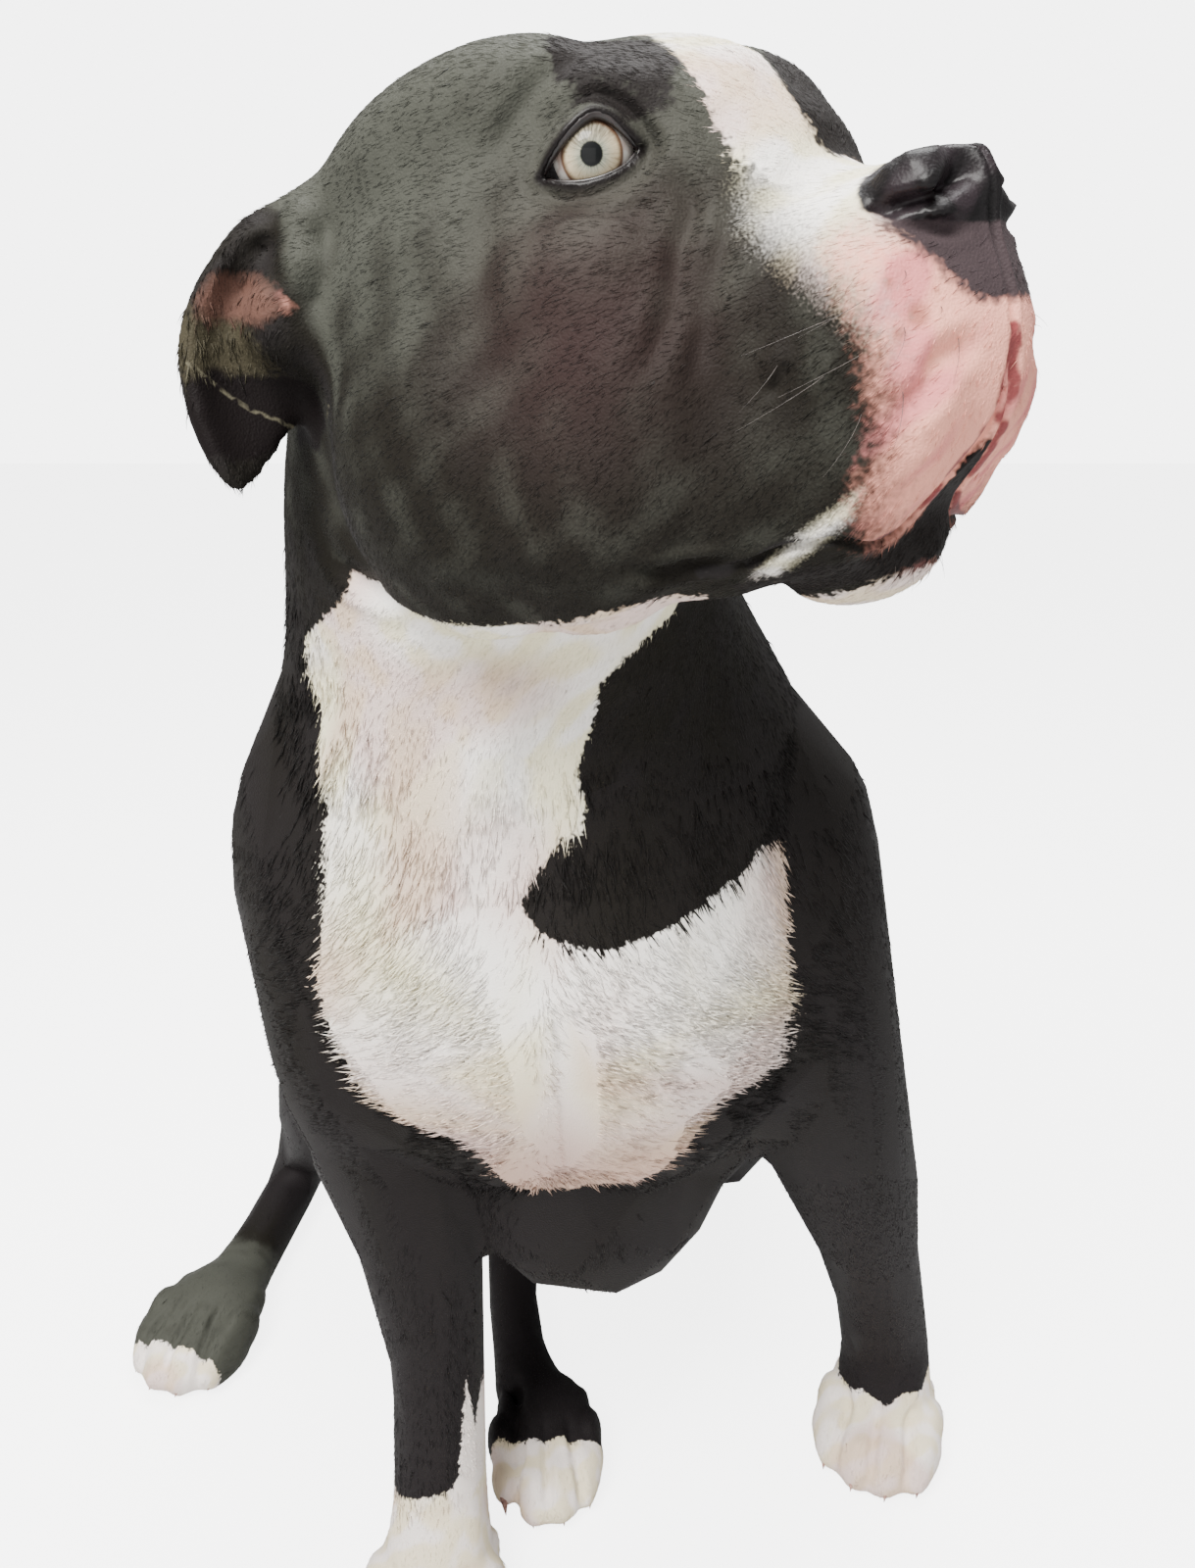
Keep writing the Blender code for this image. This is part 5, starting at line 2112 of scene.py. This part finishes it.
@dataclass
class Studio:
    """A pale floor, soft light and the camera.

    Attributes:
        head: the head's frame.
        eye_to_camera: from the near eye to the camera, in metres.
        lens: the lens's length for a frame 36 mm high.
        tip: the camera's turn from straight down.
        glow: how much brighter the floor is to the camera.
        around: the surroundings' light on the dog and to the camera.
        lamps: each light's name, place, side in metres, watts and colour.
    """

    head: HeadFrame
    eye_to_camera: Spot = (0.0012, -0.3442, -0.0532)
    lens: float = 26.19
    tip: float = math.radians(70.0)
    glow: float = 4.6
    around: Flat = (0.37, 5.5)
    lamps: tuple[tuple[str, Spot, float, float, Spot], ...] = (
        ("key", (-0.55, -1.25, 1.95), 0.9, 100.0, (1.0, 0.985, 0.96)),
        ("fill", (1.6, -1.6, 0.8), 1.6, 7.0, (0.98, 0.99, 1.0)),
        ("low", (-0.3, -2.2, 0.5), 1.2, 8.0, (1.0, 0.99, 0.97)),
        ("top", (0.2, 0.3, 2.2), 1.2, 55.0, (1.0, 1.0, 1.0)),
    )

    def floor(self) -> bpy.types.Object:
        """Lays the floor, level with the paws' flats.

        Returns:
            The floor.
        """
        deselect()
        bpy.ops.mesh.primitive_plane_add(size=12.0, location=(0.0, 2.0, -0.0004))
        piece = bpy.context.object
        piece.name = "floor"
        bpy.ops.object.transform_apply(location=True, rotation=True, scale=True)
        piece.data.materials.append(self.paint())
        return piece

    def paint(self) -> bpy.types.Material:
        """The floor's pale matt paint, a little brighter to the camera than to the dog.

        Returns:
            The material.
        """
        made, wires, sockets = new_material("floor")
        grain = wires.noise(3.0, 2.0)
        wires.put(sockets["Base Color"], wires.mix(grain, tint(206, 206, 206), tint(214, 214, 214)))
        sockets["Roughness"].default_value = 0.9
        seen = wires.add("ShaderNodeLightPath").outputs["Is Camera Ray"]
        sockets["Emission Color"].default_value = (1.0, 1.0, 1.0, 1.0)
        wires.put(sockets["Emission Strength"], wires.math("MULTIPLY", seen, self.glow))
        return made

    def lamp(self, name: str, place: Spot, size: float, power: float, colour: Spot) -> bpy.types.Object:
        """A square soft light aimed at the dog's breast.

        Args:
            name: its name.
            place: where it hangs.
            size: its side in metres.
            power: its strength in watts.
            colour: its colour.

        Returns:
            The light.
        """
        light = bpy.data.lights.new(name, "AREA")
        light.shape = "SQUARE"
        light.size = size
        light.energy = power
        light.color = colour
        piece = bpy.data.objects.new(name, light)
        bpy.context.scene.collection.objects.link(piece)
        piece.location = place
        aim = Vector((0.0, -0.15, 0.45)) - Vector(place)
        piece.rotation_euler = aim.to_track_quat("-Z", "Y").to_euler()
        return piece

    def camera(self) -> bpy.types.Object:
        """Places the camera from the near eye.

        Returns:
            The camera.
        """
        data = bpy.data.cameras.new("camera")
        data.sensor_fit = "VERTICAL"
        data.sensor_height = 36.0
        data.lens = self.lens
        data.clip_start = 0.01
        piece = bpy.data.objects.new("camera", data)
        bpy.context.scene.collection.objects.link(piece)
        piece.location = Vector(self.head.eye(Side.RIGHT)) + Vector(self.eye_to_camera)
        piece.rotation_euler = (self.tip, 0.0, 0.0)
        bpy.context.scene.camera = piece
        return piece

    def build(self) -> None:
        """Sets out the floor, lights, surroundings and camera."""
        self.floor()
        for lamp in self.lamps:
            self.lamp(*lamp)
        world = bpy.data.worlds.new("surroundings")
        bpy.context.scene.world = world
        world.use_nodes = True
        wires = Wires(world.node_tree)
        back = world.node_tree.nodes["Background"]
        back.inputs[0].default_value = (1.0, 1.0, 1.0, 1.0)
        seen = wires.add("ShaderNodeLightPath").outputs["Is Camera Ray"]
        wires.put(back.inputs[1], wires.ramp(seen, 0.0, 1.0, *self.around))
        self.camera()


def main() -> None:
    """Builds the dog and its studio in order."""
    logging.basicConfig(level=logging.INFO, format="%(name)s: %(message)s")
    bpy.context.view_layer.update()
    head = HeadFrame()
    form = EyeForm()
    skin = Skin(head, form)
    skin.build()
    LOG.info("skin: %d triangles", len(skin.piece.data.polygons))
    markings = Markings(head, form)
    for name, values in markings.marks(mesh_points(skin.piece.data)).items():
        store(skin.piece.data, name, values)
    colours = CoatColours().group()
    skin.piece.data.materials.clear()
    skin.piece.data.materials.append(SkinFinish().build(colours))
    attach(skin.piece, BODY)
    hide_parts(*FLESH)
    coat = Coat(skin.piece, markings).build(HairFinish().build(colours))
    LOG.info("coat: %d pieces", len(coat))
    wet = PlainFinish("wet_rim", (16, 13, 13), (34, 23, 22), 0.45, 900.0, 0.2).build()
    eyes = Eyes(head, form).build(EyeFinish().build(), wet)
    LOG.info("eyes: %d pieces", len(eyes))
    horn = PlainFinish("claw", (176, 140, 126), (120, 84, 76), 0.42, 260.0, 0.3).build()
    claws = Claws().build(horn)
    LOG.info("claws: %d triangles", len(claws.data.polygons))
    hair = PlainFinish("whisker", (96, 90, 86), (60, 54, 52), 0.5, 300.0).build()
    whiskers = Whiskers(head, skin.piece).build(hair)
    LOG.info("whiskers: %d faces", len(whiskers.data.polygons))
    Studio(head).build()


if __name__ == "__main__":
    main()
